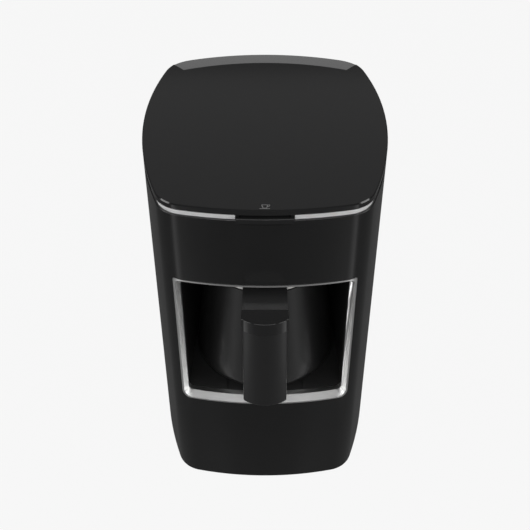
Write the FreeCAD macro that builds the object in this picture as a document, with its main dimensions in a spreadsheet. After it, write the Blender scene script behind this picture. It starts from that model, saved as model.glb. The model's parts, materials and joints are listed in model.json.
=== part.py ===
import FreeCAD, Part
import math
import os
import Sketcher

# Electric turkish coffee maker with one pot.
# Frame: +Z up, +X to the right seen from the front, the front faces -Y.
# The origin is the middle of the footprint, on the surface that the feet stand on.

# Driving dimensions in millimetres and degrees, with what each one measures

SIZES = [
    ("side_margin", 22.6, "front of the housing beside the window frame"),
    ("front_reach", 98.3, "origin to the middle of the front face"),
    ("rear_reach", 98.2, "origin to the middle of the rear face"),
    ("widest_reach", 5.7, "how far behind the origin the housing is widest"),
    ("front_radius", 234.0, "bow of the front face in plan"),
    ("side_radius", 252.0, "bow of the side faces in plan"),
    ("rear_radius", 176.5, "bow of the rear face in plan"),
    ("front_corner", 20.4, "rounding of the front corners in plan"),
    ("rear_corner", 25.6, "rounding of the rear corners in plan"),
    ("casing_bottom", 1.5, "lower edge of the casing above the table"),
    ("head_height", 49.6, "upper edge of the casing above the window frame"),
    ("casing_wall", 2.4, "wall of the casing"),
    ("casing_edge", 0.4, "rounding of the casing's upper and lower edge"),
    ("panel_gap", 0.3, "gap between two mouldings that fit in each other"),
    ("neck_gap", 4.0, "height of the recess between casing and cover"),
    ("cover_rim", 3.7, "height of the cover's rim"),
    ("cover_skin", 1.7, "thickness of the cover over its hollow"),
    ("cover_wall", 2.0, "width of the cover's rim wall"),
    ("cover_bevel", 0.7, "bevel along the upper edge of the cover"),
    ("slope_width", 15.2, "width of the slope at the rear of the cover"),
    ("slope_drop", 1.1, "height lost over that slope"),
    ("slope_half", 58.6, "half width of the slope at its upper edge"),
    ("slope_flare", 0.9, "how far the slope widens for each step to the rear"),
    ("base_level", 2.0, "underside of the base plate above the table"),
    ("base_thick", 3.0, "thickness of the base plate"),
    ("foot_radius", 7.0, "radius of a rubber foot"),
    ("foot_recess", 1.0, "how deep a foot sits in the base plate"),
    ("foot_inset", 36.0, "feet inside the widest place of the housing"),
    ("foot_front_inset", 24.3, "front feet behind the front face"),
    ("foot_rear_inset", 26.2, "rear feet in front of the rear face"),
    ("boss_radius", 5.6, "radius of a screw boss on the casing wall"),
    ("boss_inset", 7.8, "boss axis inside the outer face of the casing"),
    ("boss_front_inset", 40.3, "front bosses behind the front face"),
    ("boss_rear_inset", 40.2, "rear bosses in front of the rear face"),
    ("boss_length", 26.0, "length of a screw boss"),
    ("screw_radius", 1.5, "radius of a housing screw"),
    ("screw_head", 2.6, "radius of a screw head"),
    ("head_thick", 2.0, "thickness of a screw head"),
    ("screw_length", 12.0, "length of a housing screw under its head"),
    ("screw_gap", 0.1, "gap round a screw"),
    ("door_inset", 36.0, "opening in the rear wall inside the widest place of the housing"),
    ("door_bottom", 14.0, "lower edge of the rear opening"),
    ("door_drop", 15.7, "upper edge of the rear opening below the edge of the casing"),
    ("door_land", 6.0, "width of the ledge that the rear cover rests on"),
    ("ledge_depth", 4.8, "depth of that ledge behind the face of the housing"),
    ("rear_screw_inset", 3.6, "screws of the rear cover inside the edge of the opening"),
    ("slot_length", 44.0, "length of a vent slot"),
    ("slot_width", 3.0, "width of a vent slot"),
    ("slot_pitch", 8.0, "distance between vent slots"),
    ("rear_slots", 9.0, "number of vent slots in the rear cover"),
    ("rear_slots_drop", 78.0, "lowest vent slot of the rear cover below the edge of the opening"),
    ("base_slots", 9.0, "number of vent slots in the base plate"),
    ("gland_level", 31.0, "height of the cord inlet"),
    ("gland_radius", 6.5, "radius of the hole for the cord gland"),
    ("cord_radius", 3.3, "radius of the bore for the cord"),
    ("gland_flange", 2.0, "width and thickness of the gland's flange"),
    ("gland_nose", 5.0, "how far the gland stands out"),
    ("window_bottom", 83.4, "lower edge of the window frame"),
    ("window_rise", 8.7, "upper edge of the window frame above the handle's arm"),
    ("window_round", 5.5, "rounding of the frame's lower corners"),
    ("window_peak_round", 1.5, "rounding of the frame's upper corners"),
    ("frame_band", 4.2, "width of the frame in front view"),
    ("frame_lip", 1.1, "flat lip outside the frame's bevel"),
    ("frame_bevel", 4.5, "depth of the frame's bevel"),
    ("frame_depth", 8.0, "depth of the frame behind the front face"),
    ("frame_proud", 0.3, "how far the frame stands proud of the front face"),
    ("frame_gap", 0.15, "gap between frame and casing"),
    ("pot_inset", 6.4, "front of the pot behind the front face"),
    ("pot_clearance", 1.6, "gap between the pot and the round rear wall of the bay"),
    ("frame_overlap", 2.8, "window frame outside the mouth of the bay"),
    ("mouth_gap", 4.7, "mouth of the bay beside the pot"),
    ("mouth_inset", 2.3, "mouth of the bay behind the front face"),
    ("floor_rise", 0.1, "floor of the bay above the lower edge of the frame's opening"),
    ("ceiling_rise", 1.7, "ceiling of the bay above the upper edge of the frame's opening"),
    ("bay_wall", 2.0, "wall of the bay"),
    ("groove_reach", 26.0, "grooves in the bay floor, left and right of the middle"),
    ("groove_size", 0.8, "width and depth of a groove in the bay floor"),
    ("key_half", 16.7, "half width of the start key"),
    ("key_rise", 2.9, "upper face of the start key above the casing"),
    ("key_drop", 1.0, "lower edge of the start key's front below the edge of the casing"),
    ("key_round", 0.5, "rounding of the edges of the key's front"),
    ("key_proud", 2.4, "how far the key stands proud of the front face"),
    ("key_stem", 2.0, "thickness of the key behind its front"),
    ("key_stem_half", 14.5, "half width of the key behind its front"),
    ("key_gap", 0.6, "gap between the key and its surroundings"),
    ("pivot_inset", 32.3, "key pivot behind the front face"),
    ("pivot_rise", 0.3, "key pivot above the edge of the casing"),
    ("pivot_radius", 1.0, "radius of the pivot pin"),
    ("pivot_half", 17.5, "half length of the pivot pin"),
    ("knuckle_radius", 2.4, "radius of the key's knuckle"),
    ("knuckle_half", 11.0, "half width of the key's knuckle"),
    ("running_gap", 0.05, "radial gap of a running fit"),
    ("strip_inset", 1.3, "trim strip behind the face of the casing"),
    ("strip_thick", 1.1, "thickness of the trim strip"),
    ("strip_rear_inset", 36.3, "rear end of the trim strip behind the front face"),
    ("deck_thick", 3.0, "thickness of the deck under the cover"),
    ("deck_drop", 5.0, "deck surface below the upper edge of the casing"),
    ("neck_wall", 2.0, "wall of the neck above the deck"),
    ("neck_rise", 1.5, "how far the neck reaches into the cover"),
    ("cover_boss_inset", 34.0, "cover bosses inside the widest place of the housing"),
    ("cover_boss_front_inset", 58.3, "front cover bosses behind the front face"),
    ("cover_boss_rear_inset", 42.2, "rear cover bosses in front of the rear face"),
    ("plunger_inset", 14.3, "switch plunger behind the front face"),
    ("plunger_radius", 1.75, "radius of the switch plunger"),
    ("touch_gap", 0.1, "gap between two pieces that touch when in use"),
    ("cut_past", 1.0, "how far a cut runs past the piece that it opens"),
    ("switch_side", 6.4, "side of the switch"),
    ("switch_gap", 1.0, "gap between the switch and the deck"),
    ("spring_coil", 2.9, "mean radius of the key spring"),
    ("spring_wire", 0.35, "radius of the key spring's wire"),
    ("spring_turns", 4.0, "turns of the key spring"),
    ("board_thick", 1.6, "thickness of a circuit board"),
    ("top_board_drop", 8.0, "control board below the deck"),
    ("top_board_half", 40.0, "half width of the control board"),
    ("board_inset", 8.3, "front edge of the control board behind the front face"),
    ("board_round", 10.2, "rounding of the front corners of the control board"),
    ("top_board_length", 52.0, "control board from front to rear"),
    ("guide_half", 3.0, "half width of the light guide"),
    ("guide_thick", 1.8, "thickness of the light guide"),
    ("icon_inset", 4.7, "middle of the indicator behind the front face"),
    ("guide_rear_inset", 42.3, "rear leg of the light guide behind the front face"),
    ("sensor_radius", 4.5, "radius of the boil sensor's window"),
    ("sensor_side", 13.5, "side of the boil sensor"),
    ("sensor_height", 9.0, "height of the boil sensor"),
    ("sensor_wall", 1.0, "how far the boil sensor's hollow is smaller than its window"),
    ("chip_side", 10.0, "side of the microcontroller"),
    ("chip_thick", 1.6, "thickness of the microcontroller"),
    ("chip_x", 20.0, "microcontroller left of the middle"),
    ("chip_inset", 25.0, "microcontroller behind the front edge of its board"),
    ("buzzer_radius", 6.0, "radius of the buzzer"),
    ("buzzer_height", 6.5, "height of the buzzer"),
    ("buzzer_x", 22.0, "buzzer right of the middle"),
    ("buzzer_inset", 26.0, "buzzer behind the front edge of its board"),
    ("led_height", 1.0, "height of the indicator light"),
    ("led_half", 2.1, "half width of the indicator light"),
    ("header_width", 14.0, "width of the board connector"),
    ("header_depth", 7.0, "board connector from front to rear"),
    ("header_height", 6.5, "height of the board connector"),
    ("header_wall", 1.0, "wall of the board connector"),
    ("header_x", 25.0, "board connector left of the middle"),
    ("header_inset", 41.5, "board connector behind the front edge of its board"),
    ("power_board_half", 42.0, "half width of the power board"),
    ("power_board_front", 40.0, "front edge of the power board"),
    ("power_board_length", 92.0, "power board from front to rear"),
    ("core_width", 30.0, "width of the transformer's core"),
    ("core_depth", 26.0, "transformer's core from front to rear"),
    ("core_height", 22.0, "height of the transformer's core"),
    ("core_x", 17.0, "transformer left of the middle"),
    ("core_inset", 33.0, "transformer behind the front edge of its board"),
    ("winding_width", 35.0, "width of the transformer's winding"),
    ("winding_depth", 18.0, "winding from front to rear"),
    ("winding_height", 14.0, "height of the winding"),
    ("relay_width", 19.0, "width of the relay"),
    ("relay_depth", 15.5, "relay from front to rear"),
    ("relay_height", 15.0, "height of the relay"),
    ("relay_x", 17.5, "relay right of the middle"),
    ("relay_inset", 30.0, "relay behind the front edge of its board"),
    ("capacitor_radius", 6.5, "radius of the capacitor"),
    ("capacitor_height", 20.0, "height of the capacitor"),
    ("capacitor_x", 20.0, "capacitor right of the middle"),
    ("capacitor_inset", 54.0, "capacitor behind the front edge of its board"),
    ("terminal_ways", 3.0, "ways of the terminal block"),
    ("terminal_pitch", 8.0, "distance between the ways"),
    ("terminal_depth", 11.0, "terminal block from front to rear"),
    ("terminal_height", 12.0, "height of the terminal block"),
    ("terminal_hole", 2.2, "radius of a terminal's screw hole"),
    ("terminal_entry", 1.7, "radius of a terminal's wire entry"),
    ("standoff", 7.0, "height of a board's posts"),
    ("post_radius", 3.2, "radius of a board's posts"),
    ("board_edge", 1.0, "edge of the power board outside its posts"),
    ("pot_lift", 0.2, "gap under the pot"),
    ("pot_radius", 49.9, "widest radius of the pot"),
    ("pot_neck_radius", 39.6, "radius of the pot at its rim"),
    ("pot_height", 88.0, "pot from its foot to its rim"),
    ("pot_foot_round", 8.0, "rounding at the foot of the pot"),
    ("foot_flange", 10.0, "width of the jacket's foot with its rounding"),
    ("jacket_wall", 1.2, "wall of the pot's jacket"),
    ("liner_wall", 0.9, "wall of the pot's liner"),
    ("liner_gap", 0.6, "gap between jacket and liner"),
    ("chamber_level", 16.0, "liner floor above the foot of the pot"),
    ("rim_roll", 1.5, "radius of the rolled rim"),
    ("lip_radius", 9.0, "radius of the pouring lip at the rim"),
    ("lip_foot", 3.0, "radius of the pouring lip under the rim"),
    ("lip_reach", 5.0, "how far the pouring lip stands out of the rim"),
    ("heater_radius", 31.0, "mean radius of the heating ring"),
    ("heater_tube", 3.2, "tube radius of the heating ring"),
    ("heater_gate", 14.0, "gap between the ends of the heating ring"),
    ("thermostat_radius", 8.4, "radius of the thermostat"),
    ("plate_radius", 42.0, "radius of the heat spreader"),
    ("plate_thick", 2.0, "thickness of the heat spreader"),
    ("base_post_x", 21.0, "posts under the heat spreader, left and right of the middle"),
    ("plug_half", 12.0, "half width of the pot's plug"),
    ("plug_level", 7.5, "plug above the foot of the pot"),
    ("plug_rise", 12.0, "height of the pot's plug"),
    ("plug_reach", 5.0, "how far the plug stands out behind the pot"),
    ("plug_bevel", 0.8, "bevel of the plug's rear end"),
    ("socket_wall", 4.0, "wall of the socket"),
    ("pin_length", 8.0, "length of a plug pin"),
    ("pin_width", 4.0, "height of a plug pin"),
    ("pin_thick", 1.0, "thickness of a plug pin"),
    ("pin_pitch", 7.0, "distance between plug pins"),
    ("grip_front", 25.0, "front of the grip in front of the housing"),
    ("grip_half", 14.1, "half width of the grip"),
    ("grip_arc", 22.4, "bow of the grip's front"),
    ("grip_depth", 18.0, "grip from front to rear"),
    ("grip_length", 65.0, "length of the grip"),
    ("grip_rear_round", 4.5, "rounding of the grip's rear corners"),
    ("grip_edge_round", 2.0, "rounding of the grip's front corners and lower end"),
    ("arm_rise", 7.5, "upper face of the handle's arm above the rim of the pot"),
    ("arm_thick", 9.0, "thickness of the handle's arm"),
    ("arm_dip", 5.5, "how far the arm falls towards the pot"),
    ("arm_bend", 5.7, "where the arm starts to fall, in front of the housing"),
    ("arm_root", 14.4, "height of the arm at the pot"),
    ("arm_overlap", 3.6, "how far the arm reaches round the pot"),
    ("arm_foot", 1.2, "lower end of the arm in front of the pot"),
    ("arm_round", 4.5, "rounding under the arm at the pot"),
    ("edge_round", 0.5, "rounding of the edges of arm and cap"),
    ("cap_depth", 12.8, "handle cap from front to rear"),
    ("cap_height", 9.4, "height of the handle cap with its gap"),
    ("cap_proud", 0.4, "how far the cap stands proud of the grip"),
    ("bolt_radius", 2.0, "radius of the handle bolt"),
    ("rivet_radius", 1.8, "radius of a handle rivet"),
    ("rivet_head", 3.4, "radius of a rivet's head"),
    ("rivet_reach", 8.0, "rivets left and right of the middle"),
    ("rivet_length", 9.0, "length of a rivet in the arm"),
]

ORIGIN_PLANES = {"top": "XY_Plane", "front": "XZ_Plane", "side": "YZ_Plane"}

doc = FreeCAD.newDocument("turkish_coffee_maker")
nodes = []


# Lengths that carry the sheet expression they were worked out from

class Size:
    def __init__(self, value, text):
        self.value = float(value)
        self.text = text

    def __float__(self):
        return self.value

    def __neg__(self):
        return Size(-self.value, f"(0 - {self.text})")

    def __add__(self, other):
        other = as_size(other)
        return Size(self.value + other.value, f"({self.text} + {other.text})")

    def __sub__(self, other):
        other = as_size(other)
        return Size(self.value - other.value, f"({self.text} - {other.text})")

    def __mul__(self, other):
        other = as_size(other)
        return Size(self.value * other.value, f"({self.text} * {other.text})")

    def __truediv__(self, other):
        other = as_size(other)
        return Size(self.value / other.value, f"({self.text} / {other.text})")

    __radd__ = __add__
    __rmul__ = __mul__

    def __rsub__(self, other):
        return as_size(other) - self


def as_size(number):
    if isinstance(number, Size):
        return number
    return Size(number, repr(float(number)))


def root(length):
    return Size(math.sqrt(length.value), f"sqrt({length.text})")


class Sheet:
    """The driving dimensions, each one a named cell of the spreadsheet."""

    def __init__(self, rows):
        table = doc.addObject("Spreadsheet::Sheet", "Sizes")
        for number, (name, value, meaning) in enumerate(rows, start=1):
            table.set(f"A{number}", name)
            table.set(f"B{number}", str(value))
            table.set(f"C{number}", meaning)
            table.setAlias(f"B{number}", name)
            setattr(self, name, Size(value, f"Sizes.{name}"))
        doc.recompute()


def work_out(s):
    """Sizes and places that follow from the driving dimensions: the housing is fitted round the pot."""
    s.bay_front_half = s.pot_radius + s.mouth_gap
    s.window_half = s.bay_front_half + s.frame_overlap
    s.body_width = (s.window_half + s.side_margin) * 2
    s.bay_radius = s.pot_radius + s.pot_clearance
    s.bay_floor = s.window_bottom + s.frame_band + s.floor_rise
    s.arm_top = s.bay_floor + s.pot_lift + s.pot_height + s.arm_rise
    s.grip_top = s.arm_top - s.cap_height
    s.grip_bottom = s.grip_top - s.grip_length
    s.window_top = s.arm_top + s.window_rise
    s.bay_ceiling = s.window_top - s.frame_band + s.ceiling_rise
    s.casing_top = s.window_top + s.head_height
    s.key_top = s.casing_top + s.key_rise
    s.key_bottom = s.casing_top - s.key_drop
    s.pivot_level = s.casing_top + s.pivot_rise
    s.door_top = s.casing_top - s.door_drop
    s.rear_slots_level = s.door_top - s.rear_slots_drop
    s.door_half = s.body_width / 2 - s.door_inset
    s.foot_x = s.body_width / 2 - s.foot_inset
    s.cover_boss_x = s.body_width / 2 - s.cover_boss_inset
    s.foot_front = s.front_reach - s.foot_front_inset
    s.foot_rear = s.rear_reach - s.foot_rear_inset
    s.boss_front = s.front_reach - s.boss_front_inset
    s.boss_rear = s.rear_reach - s.boss_rear_inset
    s.cover_boss_front = s.front_reach - s.cover_boss_front_inset
    s.cover_boss_rear = s.rear_reach - s.cover_boss_rear_inset
    s.pot_reach = s.front_reach - s.pot_inset - s.pot_radius
    s.bay_mouth = s.front_reach - s.mouth_inset
    s.strip_end = s.front_reach - s.strip_rear_inset
    s.pivot_reach = s.front_reach - s.pivot_inset
    s.plunger_reach = s.front_reach - s.plunger_inset
    s.top_board_front = s.front_reach - s.board_inset
    s.chip_reach = s.top_board_front - s.chip_inset
    s.buzzer_reach = s.top_board_front - s.buzzer_inset
    s.header_reach = s.top_board_front - s.header_inset
    s.core_reach = s.power_board_front - s.core_inset
    s.relay_reach = s.power_board_front - s.relay_inset
    s.capacitor_reach = s.power_board_front - s.capacitor_inset
    s.icon_reach = s.front_reach - s.icon_inset
    s.guide_rear = s.front_reach - s.guide_rear_inset
    s.grip_face = s.front_reach + s.grip_front
    s.arm_fall = s.front_reach + s.arm_bend


# Sketches and features

def bind(thing, prop, length):
    thing.setExpression(prop, as_size(length).text)


def new_body(name, x=0, y=0, z=0, node=True):
    body = doc.addObject("PartDesign::Body", name)
    body.Label = name
    for axis, length in zip("xyz", (x, y, z)):
        if isinstance(length, Size) or length:
            bind(body, f"Placement.Base.{axis}", length)
    if node:
        nodes.append(body)
    return body


def new_sketch(body, plane, level=0):
    sketch = body.newObject("Sketcher::SketchObject", f"{body.Label}_outline")
    role = ORIGIN_PLANES[plane]
    support = [item for item in body.Origin.OriginFeatures if item.Role == role][0]
    sketch.AttachmentSupport = [(support, "")]
    sketch.MapMode = "FlatFace"
    sketch.AttachmentOffset = FreeCAD.Placement(FreeCAD.Vector(0, 0, float(level)), FreeCAD.Rotation())
    if isinstance(level, Size):
        bind(sketch, "AttachmentOffset.Base.z", level)
    return sketch


def hold(sketch, kind, *where, length):
    """A dimension of a sketch, bound to its expression."""
    number = sketch.addConstraint(Sketcher.Constraint(kind, *where, float(length)))
    bind(sketch, f"Constraints[{number}]", length)


def pin_point(sketch, edge, end, x, y):
    hold(sketch, "DistanceX", -1, 1, edge, end, length=as_size(x))
    hold(sketch, "DistanceY", -1, 1, edge, end, length=as_size(y))


def vector(x, y):
    return FreeCAD.Vector(float(x), float(y), 0)


def arc_through(start, end, radius):
    """Arc from start to end that bows to the right of the way, or to the left if radius is negative."""
    chord = end - start
    middle = (start + end) * 0.5
    height = math.sqrt(radius * radius - chord.Length * chord.Length / 4)
    left = FreeCAD.Vector(-chord.y, chord.x, 0).normalize()
    centre = middle + left * math.copysign(height, radius)
    first, last = (start, end) if radius > 0 else (end, start)
    angles = [math.atan2(point.y - centre.y, point.x - centre.x) for point in (first, last)]
    circle = Part.Circle(centre, FreeCAD.Vector(0, 0, 1), abs(radius))
    return Part.ArcOfCircle(circle, angles[0], angles[1])


def corner_cut(before, corner, after, radius):
    """The two points where a rounding of this radius leaves its corner, and its centre."""
    back = (before - corner).normalize()
    ahead = (after - corner).normalize()
    half = back.getAngle(ahead) / 2
    reach = radius / math.tan(half)
    bisector = (back + ahead).normalize()
    return corner + back * reach, corner + ahead * reach, corner + bisector * (radius / math.sin(half))


def closed(body, plane, points, level=0, arcs=None, rounds=None):
    """Closed outline through the points. arcs holds the radius of each bowed side by the number of
    its first point, rounds the rounding of each rounded corner by the number of its point."""
    sketch = new_sketch(body, plane, level)
    add_loop(sketch, points, arcs or {}, rounds or {})
    return sketch


def add_loop(sketch, points, arcs, rounds):
    spots = [vector(x, y) for x, y in points]
    count = len(points)
    cuts = {}
    for number in rounds:
        before, corner, after = spots[number - 1], spots[number], spots[(number + 1) % count]
        cuts[number] = corner_cut(before, corner, after, float(rounds[number]))
    sides = {}
    for number in range(count):
        following = (number + 1) % count
        start = cuts[number][1] if number in cuts else spots[number]
        end = cuts[following][0] if following in cuts else spots[following]
        if number in arcs:
            radius = float(arcs[number])
            bow = as_size(arcs[number])
            edge = sketch.addGeometry(arc_through(start, end, radius), False)
            hold(sketch, "Radius", edge, length=bow if radius > 0 else -bow)
            sides[number] = (edge, 1, 2) if radius > 0 else (edge, 2, 1)
        else:
            edge = sketch.addGeometry(Part.LineSegment(start, end), False)
            sides[number] = (edge, 1, 2)
    for number in range(count):
        before = sides[(number - 1) % count]
        after = sides[number]
        if number in cuts:
            round_corner(sketch, points[number], before, after, cuts[number], rounds[number])
        else:
            sketch.addConstraint(Sketcher.Constraint("Coincident", before[0], before[2], after[0], after[1]))
            pin_point(sketch, after[0], after[1], *points[number])


def round_corner(sketch, point, before, after, cut, radius):
    start, end, centre = cut
    turn = (start - centre).cross(end - centre).z
    first, last = (start, end) if turn > 0 else (end, start)
    angles = [math.atan2(spot.y - centre.y, spot.x - centre.x) for spot in (first, last)]
    circle = Part.Circle(centre, FreeCAD.Vector(0, 0, 1), float(radius))
    edge = sketch.addGeometry(Part.ArcOfCircle(circle, angles[0], angles[1]), False)
    near, far = (1, 2) if turn > 0 else (2, 1)
    sketch.addConstraint(Sketcher.Constraint("Tangent", before[0], before[2], edge, near))
    sketch.addConstraint(Sketcher.Constraint("Tangent", edge, far, after[0], after[1]))
    hold(sketch, "Radius", edge, length=as_size(radius))
    mark = sketch.addGeometry(Part.Point(vector(*point)), True)
    pin_point(sketch, mark, 1, *point)
    sketch.addConstraint(Sketcher.Constraint("PointOnObject", mark, 1, before[0]))
    sketch.addConstraint(Sketcher.Constraint("PointOnObject", mark, 1, after[0]))


def box_points(left, right, bottom, top):
    return [(left, bottom), (right, bottom), (right, top), (left, top)]


def circles(body, plane, centres, radius, level=0):
    sketch = new_sketch(body, plane, level)
    for x, y in centres:
        circle = Part.Circle(vector(x, y), FreeCAD.Vector(0, 0, 1), float(radius))
        edge = sketch.addGeometry(circle, False)
        hold(sketch, "Radius", edge, length=as_size(radius))
        pin_point(sketch, edge, 3, x, y)
    return sketch


def finish_feature(body, feature, sketch, sign):
    """Recompute, and make sure that the feature adds or takes material."""
    volume = finish_feature.volumes.get(body.Name, 0)
    sketch.Visibility = False
    doc.recompute()
    change = body.Shape.Volume - volume
    if change * sign < 1e-6:
        raise RuntimeError(f"{feature.Name} of {body.Label} changes nothing")
    finish_feature.volumes[body.Name] = body.Shape.Volume
    return feature


finish_feature.volumes = {}


def pad(body, sketch, length, reverse=False, both=False):
    feature = body.newObject("PartDesign::Pad", f"{body.Label}_pad")
    feature.Profile = sketch
    bind(feature, "Length", length)
    feature.Reversed = reverse
    feature.SideType = "Symmetric" if both else "One side"
    return finish_feature(body, feature, sketch, 1)


def pocket(body, sketch, length, reverse=False, both=False):
    feature = body.newObject("PartDesign::Pocket", f"{body.Label}_pocket")
    feature.Profile = sketch
    bind(feature, "Length", length)
    feature.Reversed = reverse
    feature.SideType = "Symmetric" if both else "One side"
    return finish_feature(body, feature, sketch, -1)


def revolve(body, sketch, cut=False):
    """Turn a sketch on the front plane round the upright axis of its body."""
    kind = "Groove" if cut else "Revolution"
    feature = body.newObject(f"PartDesign::{kind}", f"{body.Label}_turned")
    feature.Profile = sketch
    feature.ReferenceAxis = (sketch, ["V_Axis"])
    feature.Angle = 360
    return finish_feature(body, feature, sketch, -1 if cut else 1)


def row(body, feature, sketch, axis, count, length, reverse=False):
    pattern = body.newObject("PartDesign::LinearPattern", f"{body.Label}_row")
    pattern.Originals = [feature]
    pattern.Direction = (sketch, [axis])
    pattern.Reversed = reverse
    bind(pattern, "Length", length)
    bind(pattern, "Occurrences", count)
    body.Tip = pattern
    return finish_feature(body, pattern, sketch, -1)


def edges_where(shape, test):
    return [f"Edge{number}" for number, edge in enumerate(shape.Edges, start=1) if test(edge)]


def edge_feature(body, kind, test, size, size2=None):
    """Fillet or chamfer the edges of the body that pass the test."""
    base = body.Tip
    names = edges_where(base.Shape, test)
    if not names:
        raise RuntimeError(f"{body.Label} has no such edge for its {kind}")
    feature = body.newObject(f"PartDesign::{kind}", f"{body.Label}_{kind.lower()}")
    feature.Base = (base, names)
    if kind == "Fillet":
        bind(feature, "Radius", size)
    else:
        bind(feature, "Size", size)
        if size2 is not None:
            feature.ChamferType = "Two distances"
            bind(feature, "Size2", size2)
    doc.recompute()
    finish_feature.volumes[body.Name] = body.Shape.Volume
    return feature


# The outline of the housing in plan, and how far inside it a piece lies

def corner_centre(sizes, reach, bow, corner, front):
    """Centre of a corner's rounding: where the bows of face and side, drawn in by it, cross."""
    face_y = -float(reach) + float(bow) if front else float(reach) - float(bow)
    side_x = float(sizes.body_width) / 2 - float(sizes.side_radius)
    side_y = float(sizes.widest_reach)
    face = float(bow) - float(corner)
    side = float(sizes.side_radius) - float(corner)
    across = math.hypot(side_x, side_y - face_y)
    along = (face * face - side * side + across * across) / (2 * across)
    off = math.sqrt(face * face - along * along)
    way = FreeCAD.Vector(side_x, side_y - face_y, 0) * (1 / across)
    base = FreeCAD.Vector(0, face_y, 0) + way * along
    turned = FreeCAD.Vector(-way.y, way.x, 0) * off
    return max(base + turned, base - turned, key=lambda spot: spot.x)


def outline(body, sizes, level, inset):
    """The housing's outline drawn in by inset: eight arcs that run into each other."""
    sketch = new_sketch(body, "top", level)
    inset = as_size(inset)
    middle_x = sizes.body_width / 2 - sizes.side_radius
    front_y = sizes.front_radius - sizes.front_reach
    rear_y = sizes.rear_reach - sizes.rear_radius
    front_spot = corner_centre(sizes, sizes.front_reach, sizes.front_radius, sizes.front_corner, True)
    rear_spot = corner_centre(sizes, sizes.rear_reach, sizes.rear_radius, sizes.rear_corner, False)
    centres = [
        (vector(0, front_y), sizes.front_radius),
        (front_spot, sizes.front_corner),
        (vector(middle_x, sizes.widest_reach), sizes.side_radius),
        (rear_spot, sizes.rear_corner),
        (vector(0, rear_y), sizes.rear_radius),
        (FreeCAD.Vector(-rear_spot.x, rear_spot.y, 0), sizes.rear_corner),
        (vector(-middle_x, sizes.widest_reach), sizes.side_radius),
        (FreeCAD.Vector(-front_spot.x, front_spot.y, 0), sizes.front_corner),
    ]
    joints = []
    for number, (centre, radius) in enumerate(centres):
        previous, larger = centres[number - 1]
        big, small = (previous, centre) if float(larger) > float(radius) else (centre, previous)
        joints.append(math.atan2(small.y - big.y, small.x - big.x))
    arcs = []
    for number, (centre, radius) in enumerate(centres):
        start = joints[number]
        end = joints[(number + 1) % len(centres)]
        circle = Part.Circle(centre, FreeCAD.Vector(0, 0, 1), float(radius) - float(inset))
        edge = sketch.addGeometry(Part.ArcOfCircle(circle, start, end), False)
        hold(sketch, "Radius", edge, length=radius - inset)
        arcs.append(edge)
    for number, edge in enumerate(arcs):
        following = arcs[(number + 1) % len(arcs)]
        sketch.addConstraint(Sketcher.Constraint("Tangent", edge, 2, following, 1))
    pin_point(sketch, arcs[0], 3, 0, front_y)
    pin_point(sketch, arcs[2], 3, middle_x, sizes.widest_reach)
    pin_point(sketch, arcs[4], 3, 0, rear_y)
    pin_point(sketch, arcs[6], 3, -middle_x, sizes.widest_reach)
    return sketch


def face_at(sizes, half, inset, front=True):
    """How far the front or rear face, drawn in by inset, lies from the origin at this half width."""
    reach, bow = (sizes.front_reach, sizes.front_radius) if front else (sizes.rear_reach, sizes.rear_radius)
    radius = bow - inset
    return reach - bow + root(radius * radius - half * half)


def face_band(body, sizes, level, half, outer, inner, front=True):
    """A band along the front or rear face, from one inset to another, up to a half width."""
    bow = sizes.front_radius if front else sizes.rear_radius
    outer, inner, half = as_size(outer), as_size(inner), as_size(half)
    far = face_at(sizes, half, outer, front)
    near = face_at(sizes, half, inner, front)
    if front:
        points = [(-half, -far), (half, -far), (half, -near), (-half, -near)]
    else:
        points = [(half, far), (-half, far), (-half, near), (half, near)]
    arcs = {0: bow - outer, 2: -(bow - inner)}
    return closed(body, "top", points, level, arcs)


def side_wall(sizes, y):
    """Half width of the housing at a place in front of (negative) or behind the origin."""
    offset = y - sizes.widest_reach
    radius = sizes.side_radius
    return sizes.body_width / 2 - radius + root(radius * radius - offset * offset)


def boss_places(sizes):
    places = []
    for y in (-sizes.boss_front, sizes.boss_rear):
        x = side_wall(sizes, y) - sizes.boss_inset
        places.extend([(-x, y), (x, y)])
    return places


def cover_boss_places(sizes):
    x = sizes.cover_boss_x
    return [(side, y) for y in (-sizes.cover_boss_front, sizes.cover_boss_rear) for side in (-x, x)]


# Simple pieces from primitives

def primitive(kind, name, node=False, **lengths):
    piece = doc.addObject(f"Part::{kind}", name)
    for prop, length in lengths.items():
        if prop in "xyz":
            bind(piece, f"Placement.Base.{prop}", length)
        else:
            bind(piece, prop, length)
    if node:
        piece.Label = name
        nodes.append(piece)
    return piece


def block(name, left, front, bottom, width, depth, height, node=False):
    return primitive("Box", name, node, x=left, y=front, z=bottom, Length=width, Width=depth, Height=height)


def rod(name, x, y, bottom, radius, height, node=False):
    return primitive("Cylinder", name, node, x=x, y=y, z=bottom, Radius=radius, Height=height)


def cone(name, x, y, bottom, low_radius, high_radius, height):
    return primitive("Cone", name, x=x, y=y, z=bottom, Radius1=low_radius, Radius2=high_radius,
                     Height=height)


def join(name, pieces, node=True):
    group = doc.addObject("Part::Compound", name)
    group.Links = pieces
    return keep(group, name, node)


def fuse(name, pieces, node=True):
    group = doc.addObject("Part::MultiFuse", name)
    group.Shapes = pieces
    return keep(group, name, node)


def cut(name, base, tool, node=True):
    piece = doc.addObject("Part::Cut", name)
    piece.Base = base
    piece.Tool = tool
    return keep(piece, name, node)


def keep(piece, name, node):
    if node:
        piece.Label = name
        nodes.append(piece)
    return piece


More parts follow.
